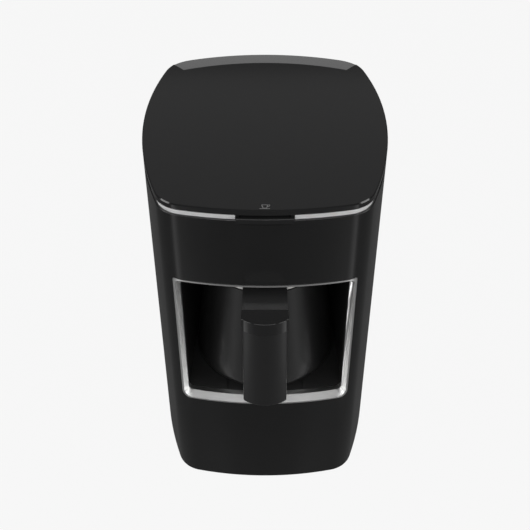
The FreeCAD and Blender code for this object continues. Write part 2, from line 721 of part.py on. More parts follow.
def screws(name, sizes, places, head_bottom, up=True, length=None):
    """A group of equal pan head screws, with their heads below (up) or above."""
    length = length or sizes.screw_length
    pieces = []
    for number, (x, y) in enumerate(places):
        head = rod(f"{name}_head_{number}", x, y, head_bottom, sizes.screw_head, sizes.head_thick)
        shank_bottom = head_bottom + sizes.head_thick if up else head_bottom - length
        shank = rod(f"{name}_shank_{number}", x, y, shank_bottom, sizes.screw_radius, length)
        pieces.append(fuse(f"{name}_{number}", [head, shank], node=False))
    return join(name, pieces)


# Housing

def make_base_plate(s):
    body = new_body("base_plate")
    pad(body, outline(body, s, s.base_level, s.casing_wall + s.panel_gap), s.base_thick)
    feet = [(side, y) for y in (-s.foot_front, s.foot_rear) for side in (-s.foot_x, s.foot_x)]
    recess = circles(body, "top", feet, s.foot_radius + s.panel_gap / 2, s.base_level)
    pocket(body, recess, s.foot_recess, reverse=True)
    holes = circles(body, "top", boss_places(s), s.screw_radius + s.screw_gap, s.base_level)
    pocket(body, holes, s.base_thick, reverse=True)
    heads = circles(body, "top", boss_places(s), s.screw_head + s.screw_gap, s.base_level)
    pocket(body, heads, s.head_thick, reverse=True)
    first = -s.slot_pitch * (s.base_slots - 1) / 2
    slot = closed(body, "top", box_points(first - s.slot_width / 2, first + s.slot_width / 2,
                                          -s.slot_length / 2 - s.power_board_front - s.slot_width,
                                          -s.power_board_front - s.slot_width), s.base_level)
    opening = pocket(body, slot, s.base_thick, reverse=True)
    row(body, opening, slot, "H_Axis", s.base_slots, s.slot_pitch * (s.base_slots - 1))
    posts = circles(body, "top", power_board_posts(s), s.post_radius, s.base_level + s.base_thick)
    pad(body, posts, s.standoff)
    pilots = circles(body, "top", power_board_posts(s), s.screw_radius + s.screw_gap,
                     s.base_level + s.base_thick + s.standoff)
    pocket(body, pilots, s.standoff)


def make_feet(s):
    for end, y in (("front", -s.foot_front), ("rear", s.foot_rear)):
        for side, x in (("left", -s.foot_x), ("right", s.foot_x)):
            body = new_body(f"foot_{end}_{side}", x, y)
            height = s.base_level + s.foot_recess
            edge = s.base_level / 2
            radius = s.foot_radius
            points = [(0, 0), (radius - edge, 0), (radius, edge), (radius, height), (0, height)]
            revolve(body, closed(body, "front", points))


def make_casing(s):
    body = new_body("outer_casing")
    height = s.casing_top - s.casing_bottom
    pad(body, outline(body, s, s.casing_bottom, 0), height)
    edge_feature(body, "Fillet", lambda edge: edge.BoundBox.ZLength < 0.01, s.casing_edge)
    pocket(body, outline(body, s, s.casing_top, s.casing_wall), height)
    # Screw bosses at both ends of the side walls
    bottom = s.base_level + s.base_thick
    pad(body, circles(body, "top", boss_places(s), s.boss_radius, bottom), s.boss_length)
    shelf = s.casing_top - s.deck_drop - s.deck_thick
    pad(body, circles(body, "top", boss_places(s), s.boss_radius, shelf), s.boss_length, reverse=True)
    pilot = s.screw_radius + s.screw_gap
    depth = s.screw_length + s.cut_past
    pocket(body, circles(body, "top", boss_places(s), pilot, bottom), depth, reverse=True)
    pocket(body, circles(body, "top", boss_places(s), pilot, shelf), depth)
    # Ledge that the rear cover rests on
    land = face_band(body, s, s.door_bottom - s.door_land, s.door_half + s.door_land,
                     s.casing_wall - s.panel_gap, s.ledge_depth, front=False)
    pad(body, land, s.door_top - s.door_bottom + s.door_land * 2)
    rebate = face_band(body, s, s.door_top, s.door_half, -s.casing_wall, s.casing_wall, front=False)
    pocket(body, rebate, s.door_top - s.door_bottom)
    half = s.door_half - s.door_land
    low = s.door_bottom + s.door_land
    high = s.door_top - s.door_land
    doorway = closed(body, "front", box_points(-half, half, low, high), -s.boss_rear,
                     rounds={number: s.door_land for number in range(4)})
    pocket(body, doorway, s.rear_reach)
    pilots = circles(body, "front", rear_screw_places(s), s.screw_radius + s.screw_gap, -s.boss_rear)
    pocket(body, pilots, s.rear_reach)
    # Window, and the notch that the start key passes through
    gap = s.frame_gap
    window = closed(body, "front", box_points(-s.window_half - gap, s.window_half + gap,
                                              s.window_bottom - gap, s.window_top + gap), s.pot_reach,
                    rounds={0: s.window_round + gap, 1: s.window_round + gap,
                            2: s.window_peak_round + gap, 3: s.window_peak_round + gap})
    pocket(body, window, s.front_reach, reverse=True)
    notch = s.key_stem_half + s.key_gap
    passage = closed(body, "front", box_points(-notch, notch, key_slot_level(s), s.casing_top + s.cut_past),
                     s.pot_reach)
    pocket(body, passage, s.front_reach, reverse=True)


def key_slot_level(s):
    """Lowest place of the key's stem, with its gap."""
    return s.key_bottom - s.key_proud + s.key_gap


def make_rear_cover(s):
    body = new_body("rear_cover")
    gap = s.panel_gap
    plate = face_band(body, s, s.door_bottom + gap, s.door_half - gap, 0, s.casing_wall - gap, front=False)
    pad(body, plate, s.door_top - s.door_bottom - gap * 2)
    slot = closed(body, "front", box_points(-s.slot_length / 2, s.slot_length / 2, s.rear_slots_level,
                                            s.rear_slots_level + s.slot_width), -s.boss_rear)
    opening = pocket(body, slot, s.rear_reach)
    row(body, opening, slot, "V_Axis", s.rear_slots, s.slot_pitch * (s.rear_slots - 1))
    inlet = circles(body, "front", [(0, s.gland_level)], s.gland_radius, -s.boss_rear)
    pocket(body, inlet, s.rear_reach)
    holes = circles(body, "front", rear_screw_places(s), s.screw_radius + s.screw_gap, -s.boss_rear)
    pocket(body, holes, s.rear_reach)
    seats = circles(body, "front", rear_screw_places(s), s.screw_head + s.screw_gap, -rear_screw_seat(s))
    pocket(body, seats, s.rear_reach)


def rear_screw_places(s):
    z = s.rear_screw_inset
    x = s.door_half - z
    return [(side, level) for level in (s.door_bottom + z, s.door_top - z) for side in (-x, x)]


def rear_screw_seat(s):
    """Flat seat of a rear screw's head, behind the origin."""
    return face_at(s, rear_screw_places(s)[1][0], as_size(0), front=False) - s.head_thick / 2


def make_rear_cover_screws(s):
    pieces = []
    for number, (x, z) in enumerate(rear_screw_places(s)):
        seat = rear_screw_seat(s)
        head = rod(f"rear_head_{number}", x, seat, z, s.screw_head, s.head_thick / 2)
        shank = rod(f"rear_shank_{number}", x, seat - s.ledge_depth, z, s.screw_radius, s.ledge_depth)
        for piece in (head, shank):
            piece.Placement.Rotation = FreeCAD.Rotation(FreeCAD.Vector(1, 0, 0), -90)
        pieces.append(fuse(f"rear_screw_{number}", [head, shank], node=False))
    join("rear_cover_screws", pieces)


def make_cord_gland(s):
    body = new_body("cord_gland", 0, s.rear_reach, s.gland_level)
    bore = s.cord_radius
    neck = s.gland_radius - s.panel_gap
    flange = s.gland_flange
    rim = s.gland_radius + flange
    wall = s.casing_wall + s.touch_gap
    inner = -wall - flange
    nose = s.gland_nose
    gap = s.touch_gap
    points = [(bore, inner), (rim, inner), (rim, -wall), (neck, -wall), (neck, gap), (rim, gap),
              (rim - flange / 2, flange), (neck - flange / 2, nose), (bore, nose)]
    revolve(body, closed(body, "front", points))
    body.Placement.Rotation = FreeCAD.Rotation(FreeCAD.Vector(1, 0, 0), -90)


def make_window_frame(s):
    body = new_body("window_frame")
    pad(body, outline(body, s, s.window_bottom, -s.frame_proud), s.window_top - s.window_bottom)
    pocket(body, outline(body, s, s.window_top, s.frame_depth), s.window_top - s.window_bottom)
    width = s.body_width
    rear = closed(body, "top", box_points(-width, width, -s.boss_front, width), s.window_top)
    pocket(body, rear, s.window_top - s.window_bottom)
    outside = closed(body, "front", box_points(-width, width, s.window_bottom - s.cut_past,
                                                   s.window_top + s.cut_past), 0)
    add_loop(outside, box_points(-s.window_half, s.window_half, s.window_bottom, s.window_top), {},
             {0: s.window_round, 1: s.window_round, 2: s.window_peak_round, 3: s.window_peak_round})
    pocket(body, outside, width, reverse=True)
    band = s.frame_band
    inside = closed(body, "front", box_points(-s.window_half + band, s.window_half - band,
                                              s.window_bottom + band, s.window_top - band), 0,
                    rounds={0: s.window_round / 2, 1: s.window_round / 2,
                            2: s.window_peak_round / 2, 3: s.window_peak_round / 2})
    pocket(body, inside, width, reverse=True)
    inner = s.window_half - s.frame_band
    low = float(s.window_bottom + s.frame_band) - 0.01
    high = float(s.window_top - s.frame_band) + 0.01
    rear_face = float(face_at(s, inner, s.frame_depth / 2))

    def front_inner(edge):
        box = edge.BoundBox
        within = box.XMin > -float(inner) - 0.01 and box.XMax < float(inner) + 0.01
        return within and box.ZMin > low and box.ZMax < high and box.YMax < -rear_face

    edge_feature(body, "Chamfer", front_inner, s.frame_band - s.frame_lip, s.frame_bevel)


def bay_plan(body, s, level, growth):
    """Plan of the bay: a mouth, two walls that draw in, and a round rear wall."""
    sketch = new_sketch(body, "top", level)
    growth = as_size(growth)
    half = s.bay_front_half + growth
    mouth = s.bay_mouth
    radius = s.bay_radius + growth
    centre = FreeCAD.Vector(0, -float(s.pot_reach), 0)
    corner = FreeCAD.Vector(float(half), -float(mouth), 0)
    away = corner - centre
    lean = math.atan2(away.y, away.x) + math.acos(float(radius) / away.Length)
    touch = centre + FreeCAD.Vector(math.cos(lean), math.sin(lean), 0) * float(radius)
    left_touch = FreeCAD.Vector(-touch.x, touch.y, 0)
    left_corner = FreeCAD.Vector(-corner.x, corner.y, 0)
    front = sketch.addGeometry(Part.LineSegment(left_corner, corner), False)
    right = sketch.addGeometry(Part.LineSegment(corner, touch), False)
    circle = Part.Circle(centre, FreeCAD.Vector(0, 0, 1), float(radius))
    rear = sketch.addGeometry(Part.ArcOfCircle(circle, lean, math.pi - lean), False)
    left = sketch.addGeometry(Part.LineSegment(left_touch, left_corner), False)
    sketch.addConstraint(Sketcher.Constraint("Coincident", front, 2, right, 1))
    sketch.addConstraint(Sketcher.Constraint("Tangent", right, 2, rear, 1))
    sketch.addConstraint(Sketcher.Constraint("Tangent", rear, 2, left, 1))
    sketch.addConstraint(Sketcher.Constraint("Coincident", left, 2, front, 1))
    hold(sketch, "Radius", rear, length=radius)
    pin_point(sketch, rear, 3, 0, -s.pot_reach)
    pin_point(sketch, front, 1, -half, -mouth)
    pin_point(sketch, front, 2, half, -mouth)
    return sketch


def make_bay_liner(s):
    body = new_body("bay_liner")
    bottom = s.bay_floor - s.bay_wall
    height = s.bay_ceiling + s.bay_wall - bottom
    pad(body, bay_plan(body, s, bottom, s.bay_wall), height)
    pocket(body, bay_plan(body, s, s.bay_ceiling, 0), s.bay_ceiling - s.bay_floor)
    # The mouth follows the back of the window frame
    mouth = outline(body, s, s.bay_ceiling + s.bay_wall, s.frame_depth + s.panel_gap)
    width = s.body_width
    add_loop(mouth, box_points(-width, width, -width, width), {}, {})
    pocket(body, mouth, height)
    # Two grooves that run from the mouth to the pot
    for x in (-s.groove_reach, s.groove_reach):
        half = s.groove_size / 2
        lane = box_points(x - half, x + half, -s.front_reach, -s.pot_reach)
        groove = closed(body, "top", lane, s.bay_floor)
        pocket(body, groove, s.groove_size)
    # Hole for the sensor window in the ceiling
    eye = circles(body, "top", [(0, -s.pot_reach)], s.sensor_radius + s.panel_gap,
                  s.bay_ceiling + s.bay_wall)
    pocket(body, eye, s.bay_wall)
    # Recess that the plug passes through
    half = s.plug_half + s.key_gap
    recess = closed(body, "front", box_points(-half, half, plug_bottom(s) - s.key_gap,
                                              plug_bottom(s) + s.plug_rise + s.key_gap), s.pot_reach)
    pocket(body, recess, s.bay_radius + s.bay_wall)


def plug_bottom(s):
    return s.bay_floor + s.pot_lift + s.plug_level


def make_upper_deck(s):
    body = new_body("upper_deck")
    surface = s.casing_top - s.deck_drop
    top = s.casing_top + s.neck_gap + s.neck_rise
    inset = s.casing_wall + s.panel_gap
    pad(body, outline(body, s, surface - s.deck_thick, inset), top - surface + s.deck_thick)
    pocket(body, outline(body, s, top, inset + s.neck_wall), top - surface)
    notch = s.key_stem_half + s.key_gap
    passage = closed(body, "front", box_points(-notch, notch, key_slot_level(s), top + s.cut_past),
                     s.pot_reach)
    pocket(body, passage, s.front_reach, reverse=True)
    # Lugs that hold the key's pivot pin
    lug = s.knuckle_half + s.panel_gap
    for side in (-1, 1):
        ends = sorted([lug * side, s.pivot_half * side], key=float)
        reach = s.pivot_reach
        foot = s.knuckle_radius
        points = [(-reach - foot, surface), (-reach + foot, surface),
                  (-reach + foot, s.pivot_level + foot), (-reach - foot, s.pivot_level + foot)]
        ear = closed(body, "side", points, ends[0], rounds={2: foot - 0.2, 3: foot - 0.2})
        pad(body, ear, ends[1] - ends[0])
    pin_hole = circles(body, "side", [(-s.pivot_reach, s.pivot_level)], s.pivot_radius + s.running_gap / 2,
                       -s.pivot_half)
    pocket(body, pin_hole, s.pivot_half * 2, reverse=True)
    # Holes for the plunger, the light guide and the screws
    guide = circles(body, "top", [(0, -s.plunger_reach)], s.plunger_radius + s.running_gap, surface)
    pocket(body, guide, s.deck_thick)
    gap = s.panel_gap
    half = s.guide_half + gap
    leg = closed(body, "top", box_points(-half, half, -s.guide_rear - s.guide_thick - gap,
                                         -s.guide_rear + gap), surface)
    pocket(body, leg, s.deck_thick)
    places = boss_places(s) + cover_boss_places(s)
    holes = circles(body, "top", places, s.screw_radius + s.screw_gap, surface)
    pocket(body, holes, s.deck_thick)
    # Posts for the control board
    posts = circles(body, "top", top_board_posts(s), s.post_radius, surface - s.deck_thick)
    pad(body, posts, s.top_board_drop, reverse=True)
    pilots = circles(body, "top", top_board_posts(s), s.screw_radius + s.screw_gap,
                     surface - s.deck_thick - s.top_board_drop)
    pocket(body, pilots, s.top_board_drop - s.cut_past, reverse=True)


def make_cover_slope(s, top):
    """What the cover loses by the gentle slope along its rear edge, between two slanting ends."""
    body = new_body("cover_slope", node=False)
    # Wedge turned about the centre of the rear bow
    centre = s.rear_reach - s.rear_radius
    inner = s.rear_radius - s.slope_width
    outer = s.rear_radius + s.slope_width
    high = top + s.slope_width
    wedge = closed(body, "side", [(centre + inner, top), (centre + outer, top - s.slope_drop * 2),
                                  (centre + outer, high), (centre + inner, high)])
    axis = wedge.addGeometry(Part.LineSegment(vector(centre, 0), vector(centre, top)), True)
    pin_point(wedge, axis, 1, centre, 0)
    pin_point(wedge, axis, 2, centre, top)
    ring = body.newObject("PartDesign::Revolution", "cover_slope_ring")
    ring.Profile = wedge
    ring.ReferenceAxis = (wedge, ["Axis0"])
    ring.Angle = 120
    ring.Midplane = True
    finish_feature(body, ring, wedge, 1)
    # Ends that widen to the rear
    start = centre + root(inner * inner - s.slope_half * s.slope_half)
    near = start - s.slope_width
    far = start + s.rear_radius / 2
    narrow = s.slope_half - s.slope_flare * s.slope_width
    wide = s.slope_half + s.slope_flare * s.rear_radius / 2
    width = s.body_width
    ends = closed(body, "top", box_points(-width, width, -width, width), high)
    add_loop(ends, [(-narrow, near), (narrow, near), (wide, far), (-wide, far)], {}, {})
    pocket(body, ends, s.slope_width * 2)
    return body


def make_top_cover(s):
    body = new_body("cover_moulding", node=False)
    bottom = s.casing_top + s.neck_gap
    top = bottom + s.cover_rim
    pad(body, outline(body, s, bottom, 0), s.cover_rim)
    pocket(body, outline(body, s, bottom, s.cover_wall), s.cover_rim - s.cover_skin, reverse=True)
    edge_feature(body, "Chamfer", lambda edge: edge.BoundBox.ZMin > float(top) - 0.01, s.cover_bevel)
    # Bosses for the screws that come up through the deck
    ceiling = top - s.cover_skin
    length = ceiling - s.casing_top + s.deck_drop
    pad(body, circles(body, "top", cover_boss_places(s), s.boss_radius, ceiling), length, reverse=True)
    pilots = circles(body, "top", cover_boss_places(s), s.screw_radius + s.screw_gap, ceiling - length)
    pocket(body, pilots, length - s.cut_past, reverse=True)
    cut("top_cover", body, make_cover_slope(s, top))


def make_trim_strips(s):
    for side, name in ((-1, "trim_strip_left"), (1, "trim_strip_right")):
        body = new_body(name)
        gap = s.touch_gap
        height = s.neck_gap - gap * 2
        level = s.casing_top + gap
        pad(body, outline(body, s, level, s.strip_inset), height)
        pocket(body, outline(body, s, level + height, s.strip_inset + s.strip_thick), height)
        width = s.body_width
        rear = closed(body, "top", box_points(-width, width, -s.strip_end, width), level + height)
        pocket(body, rear, height)
        ends = sorted([as_size(-width * side), (s.key_half + s.key_gap) * side], key=float)
        other = closed(body, "top", box_points(ends[0], ends[1], -width, width), level + height)
        pocket(body, other, height)


# Start key and switch

def make_start_key(s):
    body = new_body("start_key")
    gap = s.key_gap
    front = face_band(body, s, s.key_bottom, s.key_half, -s.key_proud, -gap)
    pad(body, front, s.key_top - s.key_bottom)
    face = 0.1 - float(face_at(s, s.key_half, -s.key_proud))
    edge_feature(body, "Fillet", lambda edge: edge.BoundBox.ZLength < 0.01 and edge.BoundBox.YMax < face,
                 s.key_round)
    neck = face_at(s, s.key_stem_half, -s.key_proud / 2)
    knuckle = s.knuckle_radius
    half = s.key_stem_half
    under = s.key_top - s.key_stem
    stem = closed(body, "top", box_points(-half, half, -neck, -s.pivot_reach - knuckle), under)
    pad(body, stem, s.key_stem)
    half = s.knuckle_half
    end = -s.pivot_reach - knuckle - s.cut_past
    tail = closed(body, "top", box_points(-half, half, end, -s.pivot_reach), under)
    pad(body, tail, s.key_stem)
    pivot = [(-s.pivot_reach, s.pivot_level)]
    barrel = circles(body, "side", pivot, knuckle, -half)
    pad(body, barrel, half * 2)
    bore = circles(body, "side", pivot, s.pivot_radius + s.running_gap, -s.key_half)
    pocket(body, bore, s.key_half * 2, reverse=True)


def make_key_pin(s):
    half = s.pivot_half
    pin = rod("key_pivot_pin", -half, -s.pivot_reach, s.pivot_level, s.pivot_radius, half * 2, node=True)
    pin.Placement.Rotation = FreeCAD.Rotation(FreeCAD.Vector(0, 1, 0), 90)


def make_key_spring(s):
    """Wound spring round the plunger, between the deck and the key, in quarter turns."""
    wire = float(s.spring_wire)
    coil = float(s.spring_coil)
    turns = float(s.spring_turns)
    bottom = float(s.casing_top - s.deck_drop + s.touch_gap) + wire
    top = float(s.key_top - s.key_stem - s.touch_gap) - wire

    quarters = int(turns * 4)

    def spot(quarter):
        turn = quarter * math.pi / 2
        rise = (top - bottom) * quarter / quarters
        return FreeCAD.Vector(coil * math.cos(turn), coil * math.sin(turn), rise)

    arcs = []
    for number in range(quarters):
        arcs.append(Part.Arc(spot(number), spot(number + 0.5), spot(number + 1)).toShape())
    path = Part.Wire(arcs)
    section = Part.Wire(Part.makeCircle(wire, spot(0), arcs[0].tangentAt(arcs[0].FirstParameter)))
    spring = doc.addObject("Part::Feature", "key_spring")
    spring.Shape = path.makePipeShell([section], True, False)
    spring.Placement.Base = FreeCAD.Vector(0, -float(s.plunger_reach), bottom)
    print(f"least gap between the turns of the spring {(top - bottom) / turns - wire * 2:.2f}")
    keep(spring, "key_spring", True)


def make_switch(s):
    floor = s.casing_top - s.deck_drop - s.deck_thick - s.top_board_drop
    side = s.switch_side
    height = s.top_board_drop - s.switch_gap
    case = block("switch_case", -side / 2, -s.plunger_reach - side / 2, floor, side, side, height)
    bore_depth = s.plunger_radius * 2
    bore_floor = floor + height - bore_depth
    bore = rod("switch_bore", 0, -s.plunger_reach, bore_floor, s.plunger_radius + s.running_gap,
               bore_depth + s.cut_past)
    cut("switch_body", case, bore)
    bottom = bore_floor + s.plunger_radius
    top = s.key_top - s.key_stem - s.touch_gap
    rod("switch_plunger", 0, -s.plunger_reach, bottom, s.plunger_radius, top - bottom, node=True)


# Head electronics

def top_board_level(s):
    return s.casing_top - s.deck_drop - s.deck_thick - s.top_board_drop - s.board_thick


def top_board_posts(s):
    x = s.top_board_half - s.post_radius
    front = -s.top_board_front + s.post_radius * 2
    rear = -s.top_board_front + s.top_board_length - s.post_radius
    return [(-x, rear), (x, rear), (-x + s.post_radius * 2, front), (x - s.post_radius * 2, front)]


def make_control_board(s):
    body = new_body("control_board")
    level = top_board_level(s)
    half = s.top_board_half
    front = -s.top_board_front
    plate = closed(body, "top", box_points(-half, half, front, front + s.top_board_length), level,
                   rounds={0: s.board_round, 1: s.board_round})
    pad(body, plate, s.board_thick)
    holes = circles(body, "top", top_board_posts(s), s.screw_radius + s.screw_gap, level)
    pocket(body, holes, s.board_thick, reverse=True)
    screws("board_screws", s, top_board_posts(s), level - s.head_thick,
           length=s.top_board_drop - s.cut_past)
    top = level + s.board_thick
    chip = s.chip_side
    block("microcontroller", -s.chip_x - chip / 2, -s.chip_reach - chip / 2, top, chip, chip, s.chip_thick,
          node=True)
    rod("buzzer", s.buzzer_x, -s.buzzer_reach, top, s.buzzer_radius, s.buzzer_height, node=True)
    block("indicator_led", -s.led_half, -s.guide_rear - s.guide_thick, top, s.led_half * 2, s.guide_thick,
          s.led_height, node=True)
    left = -s.header_x - s.header_width / 2
    near = -s.header_reach - s.header_depth / 2
    wall = s.header_wall
    shell = block("connector_shell", left, near, top, s.header_width, s.header_depth, s.header_height)
    hollow = block("connector_hollow", left + wall, near + wall, top + wall, s.header_width - wall * 2,
                   s.header_depth - wall * 2, s.header_height)
    cut("board_connector", shell, hollow)


def make_light_guide(s):
    """Clear bar that brings the light from the board to the indicator at the front of the cover."""
    body = new_body("light_guide")
    under = s.casing_top + s.neck_gap + s.cover_rim - s.cover_skin - s.touch_gap
    thick = s.guide_thick
    front = s.icon_reach + s.led_half
    led_top = top_board_level(s) + s.board_thick + s.led_height + s.touch_gap
    rear = -s.guide_rear
    points = [(-front, under - thick), (rear - thick, under - thick), (rear - thick, led_top), (rear, led_top),
              (rear, under - thick / 2), (rear - thick / 2, under), (-front, under)]
    pad(body, closed(body, "side", points, 0), s.guide_half * 2, both=True)


def make_boil_sensor(s):
    top = s.bay_ceiling + s.bay_wall
    wide = s.sensor_side
    case = block("sensor_case", -wide / 2, -s.pot_reach - wide / 2, top, wide, wide, s.sensor_height)
    hollow = rod("sensor_hollow", 0, -s.pot_reach, top - s.cut_past, s.sensor_radius - s.sensor_wall,
                 s.sensor_height / 2 + s.cut_past)
    cut("boil_sensor", case, hollow)
    rod("sensor_window", 0, -s.pot_reach, s.bay_ceiling + s.panel_gap, s.sensor_radius,
        s.bay_wall - s.panel_gap, node=True)


# Base electronics

def power_board_posts(s):
    inset = s.post_radius + s.board_edge
    x = s.power_board_half - inset
    front = -s.power_board_front + inset
    rear = -s.power_board_front + s.power_board_length - inset
    return [(-x, front), (x, front), (-x, rear), (x, rear)]


def make_power_board(s):
    level = s.base_level + s.base_thick + s.standoff
    body = new_body("power_board")
    half = s.power_board_half
    front = -s.power_board_front
    plate = closed(body, "top", box_points(-half, half, front, front + s.power_board_length), level)
    pad(body, plate, s.board_thick)
    holes = circles(body, "top", power_board_posts(s), s.screw_radius + s.screw_gap, level)
    pocket(body, holes, s.board_thick, reverse=True)
    top = level + s.board_thick
    screws("power_board_screws", s, power_board_posts(s), top, up=False, length=s.standoff)
    core = block("transformer_core", -s.core_x - s.core_width / 2, -s.core_reach - s.core_depth / 2, top,
                 s.core_width, s.core_depth, s.core_height)
    winding_bottom = top + (s.core_height - s.winding_height) / 2
    winding = block("transformer_winding", -s.core_x - s.winding_width / 2,
                    -s.core_reach - s.winding_depth / 2, winding_bottom, s.winding_width, s.winding_depth,
                    s.winding_height)
    fuse("transformer", [core, winding])
    block("relay", s.relay_x - s.relay_width / 2, -s.relay_reach - s.relay_depth / 2, top, s.relay_width,
          s.relay_depth, s.relay_height, node=True)
    rod("capacitor", s.capacitor_x, -s.capacitor_reach, top, s.capacitor_radius, s.capacitor_height,
        node=True)
    make_terminal_block(s, top)


def make_terminal_block(s, top):
    body = new_body("terminal_block")
    pitch = s.terminal_pitch
    half = pitch * s.terminal_ways / 2
    rear = -s.power_board_front + s.power_board_length - s.board_thick
    depth = s.terminal_depth
    pad(body, closed(body, "top", box_points(-half, half, rear - depth, rear), top), s.terminal_height)
    middles = [pitch * (number + 0.5) - half for number in range(int(float(s.terminal_ways)))]
    drops = circles(body, "top", [(x, rear - depth / 2) for x in middles], s.terminal_hole,
                    top + s.terminal_height)
    pocket(body, drops, s.terminal_height / 2)
    entries = circles(body, "front", [(x, top + s.terminal_height / 3) for x in middles],
                      s.terminal_entry, -rear)
    pocket(body, entries, depth / 2 + s.terminal_hole, reverse=True)


# Socket behind the bay

def socket_face(s):
    return s.bay_radius + s.bay_wall - s.pot_reach


def make_socket(s):
    body = new_body("pot_socket")
    face = socket_face(s) + s.panel_gap
    half = s.plug_half + s.socket_wall
    low = plug_bottom(s) - s.socket_wall
    high = plug_bottom(s) + s.plug_rise + s.socket_wall
    depth = s.pin_length + s.plug_reach
    pad(body, closed(body, "front", box_points(-half, half, low, high), -face), depth, reverse=True)
    inner = s.plug_half + s.key_gap
    mouth = closed(body, "front", box_points(-inner, inner, plug_bottom(s) - s.key_gap,
                                             plug_bottom(s) + s.plug_rise + s.key_gap), -face)
    pocket(body, mouth, plug_overlap(s) + s.key_gap)
    middle = plug_bottom(s) + s.plug_rise / 2
    for step in (-1, 0, 1):
        x = s.pin_pitch * step
        wide = s.pin_thick + s.key_gap
        slot = closed(body, "front", box_points(x - wide, x + wide, middle - s.pin_width,
                                                middle + s.pin_width), -face)
        pocket(body, slot, s.pin_length + plug_overlap(s) + s.key_gap)
    pieces = []
    for number, step in enumerate((-1, 0, 1)):
        x = s.pin_pitch * step + s.pin_thick / 2 + s.touch_gap
        start = face + plug_overlap(s) + s.key_gap * 2
        leaf = block(f"contact_{number}", x, start, middle - s.pin_width / 2, s.key_gap,
                     s.pin_length - s.key_gap, s.pin_width)
        pieces.append(leaf)
    join("socket_contacts", pieces)


def plug_rear(s):
    """Rear end of the plug behind the origin."""
    return s.pot_radius + s.plug_reach - s.pot_reach


def plug_overlap(s):
    """How far the plug reaches into the socket's mouth."""
    return plug_rear(s) - socket_face(s) - s.panel_gap


# Pot

def jacket_radius(s, height):
    """Radius of the pot's jacket at a height above its foot."""
    lean = (s.pot_radius - s.pot_neck_radius) / s.pot_height
    return s.pot_radius - lean * height


def rim_radius(s):
    """Radius of the pot's rolled rim."""
    return jacket_radius(s, s.pot_height - s.rim_roll * 2) + s.rim_roll / 2


def make_pot_jacket(s):
    foot = s.bay_floor + s.pot_lift
    body = new_body("pot_jacket", 0, -s.pot_reach, foot)
    wall = s.jacket_wall
    top = s.pot_height - s.rim_roll * 3
    upper = jacket_radius(s, top)
    lower = jacket_radius(s, as_size(0))
    lip = s.foot_flange
    points = [(lower - lip, 0), (lower, 0), (upper, top), (upper - wall, top), (lower - wall, wall),
              (lower - lip, wall)]
    rounds = {1: s.pot_foot_round - wall / 2, 4: s.pot_foot_round - wall * 1.5}
    revolve(body, closed(body, "front", points, rounds=rounds))
    half = s.plug_half - wall
    low = s.plug_level + wall
    slot = closed(body, "front", box_points(-half, half, low, low + s.plug_rise - wall * 2), 0)
    pocket(body, slot, s.pot_radius * 2)
    holes = circles(body, "front", rivet_places(s), s.rivet_radius + s.screw_gap, 0)
    pocket(body, holes, s.pot_radius * 2, reverse=True)


def make_pot_liner(s):
    foot = s.bay_floor + s.pot_lift
    body = new_body("liner_shell", 0, -s.pot_reach, foot, node=False)
    shift = s.jacket_wall + s.liner_gap
    wall = s.liner_wall
    roll = s.rim_roll
    neck = s.pot_height - roll * 2
    floor = s.chamber_level
    low = jacket_radius(s, floor) - shift
    high = jacket_radius(s, neck) - shift
    rim = rim_radius(s)
    points = [(0, floor), (low, floor), (high, neck - roll), (rim, neck), (rim, s.pot_height),
              (high - wall, s.pot_height), (high - wall, neck - roll), (low - wall, floor + wall),
              (0, floor + wall)]
    turn = s.pot_foot_round - wall
    rounds = {1: turn, 7: turn - wall, 3: roll / 3, 4: roll / 2, 5: roll / 2}
    revolve(body, closed(body, "front", points, rounds=rounds))
    holes = circles(body, "front", rivet_places(s), s.rivet_radius + s.screw_gap, 0)
    pocket(body, holes, s.pot_radius * 2, reverse=True)
    # Pouring lip pressed into the rim, on the left
    lip = -(rim + s.lip_reach - s.lip_radius)
    depth = s.pot_height - neck
    beak = cone("lip_outside", lip + wall, -s.pot_reach, foot + neck, s.lip_foot, s.lip_radius, depth)
    channel = cone("lip_inside", lip + wall, -s.pot_reach, foot + neck + wall, s.lip_foot - wall,
                   s.lip_radius - wall, depth)
    mouth = rod("lip_mouth", 0, -s.pot_reach, foot + neck - roll, high - wall, depth * 2)
    shell = fuse("liner_with_lip", [body, beak], node=False)
    cut("pot_liner", shell, fuse("lip_opening", [channel, mouth], node=False))


def make_pot_base(s):
    foot = s.bay_floor + s.pot_lift
    body = new_body("pot_base", 0, -s.pot_reach, foot)
    wall = s.jacket_wall
    radius = jacket_radius(s, as_size(0)) - s.foot_flange - s.panel_gap
    points = [(0, 0), (radius, 0), (radius, wall * 2), (0, wall * 2)]
    revolve(body, closed(body, "front", points))
    posts = circles(body, "top", [(-s.base_post_x, 0), (s.base_post_x, 0)], s.post_radius, wall * 2)
    pad(body, posts, s.chamber_level - s.plate_thick - wall * 2 - s.touch_gap)


def make_pot_heater(s):
    foot = s.bay_floor + s.pot_lift
    level = foot + s.chamber_level - s.plate_thick - s.touch_gap / 2
    rod("heater_plate", 0, -s.pot_reach, level, s.plate_radius, s.plate_thick, node=True)
    ring = primitive("Torus", "heater_ring_full", Radius1=s.heater_radius, Radius2=s.heater_tube,
                     x=0, y=-s.pot_reach, z=level - s.heater_tube)
    gate = s.heater_gate
    thick = s.heater_tube * 2
    gap = block("heater_ring_gate", -gate / 2, -s.pot_reach, level - thick, gate, s.plate_radius, thick)
    cut("heater_ring", ring, gap)
    case = s.chamber_level - s.plate_thick - s.jacket_wall * 3
    rod("pot_thermostat", 0, -s.pot_reach, level - case + s.jacket_wall / 2, s.thermostat_radius,
        case - s.jacket_wall / 2, node=True)


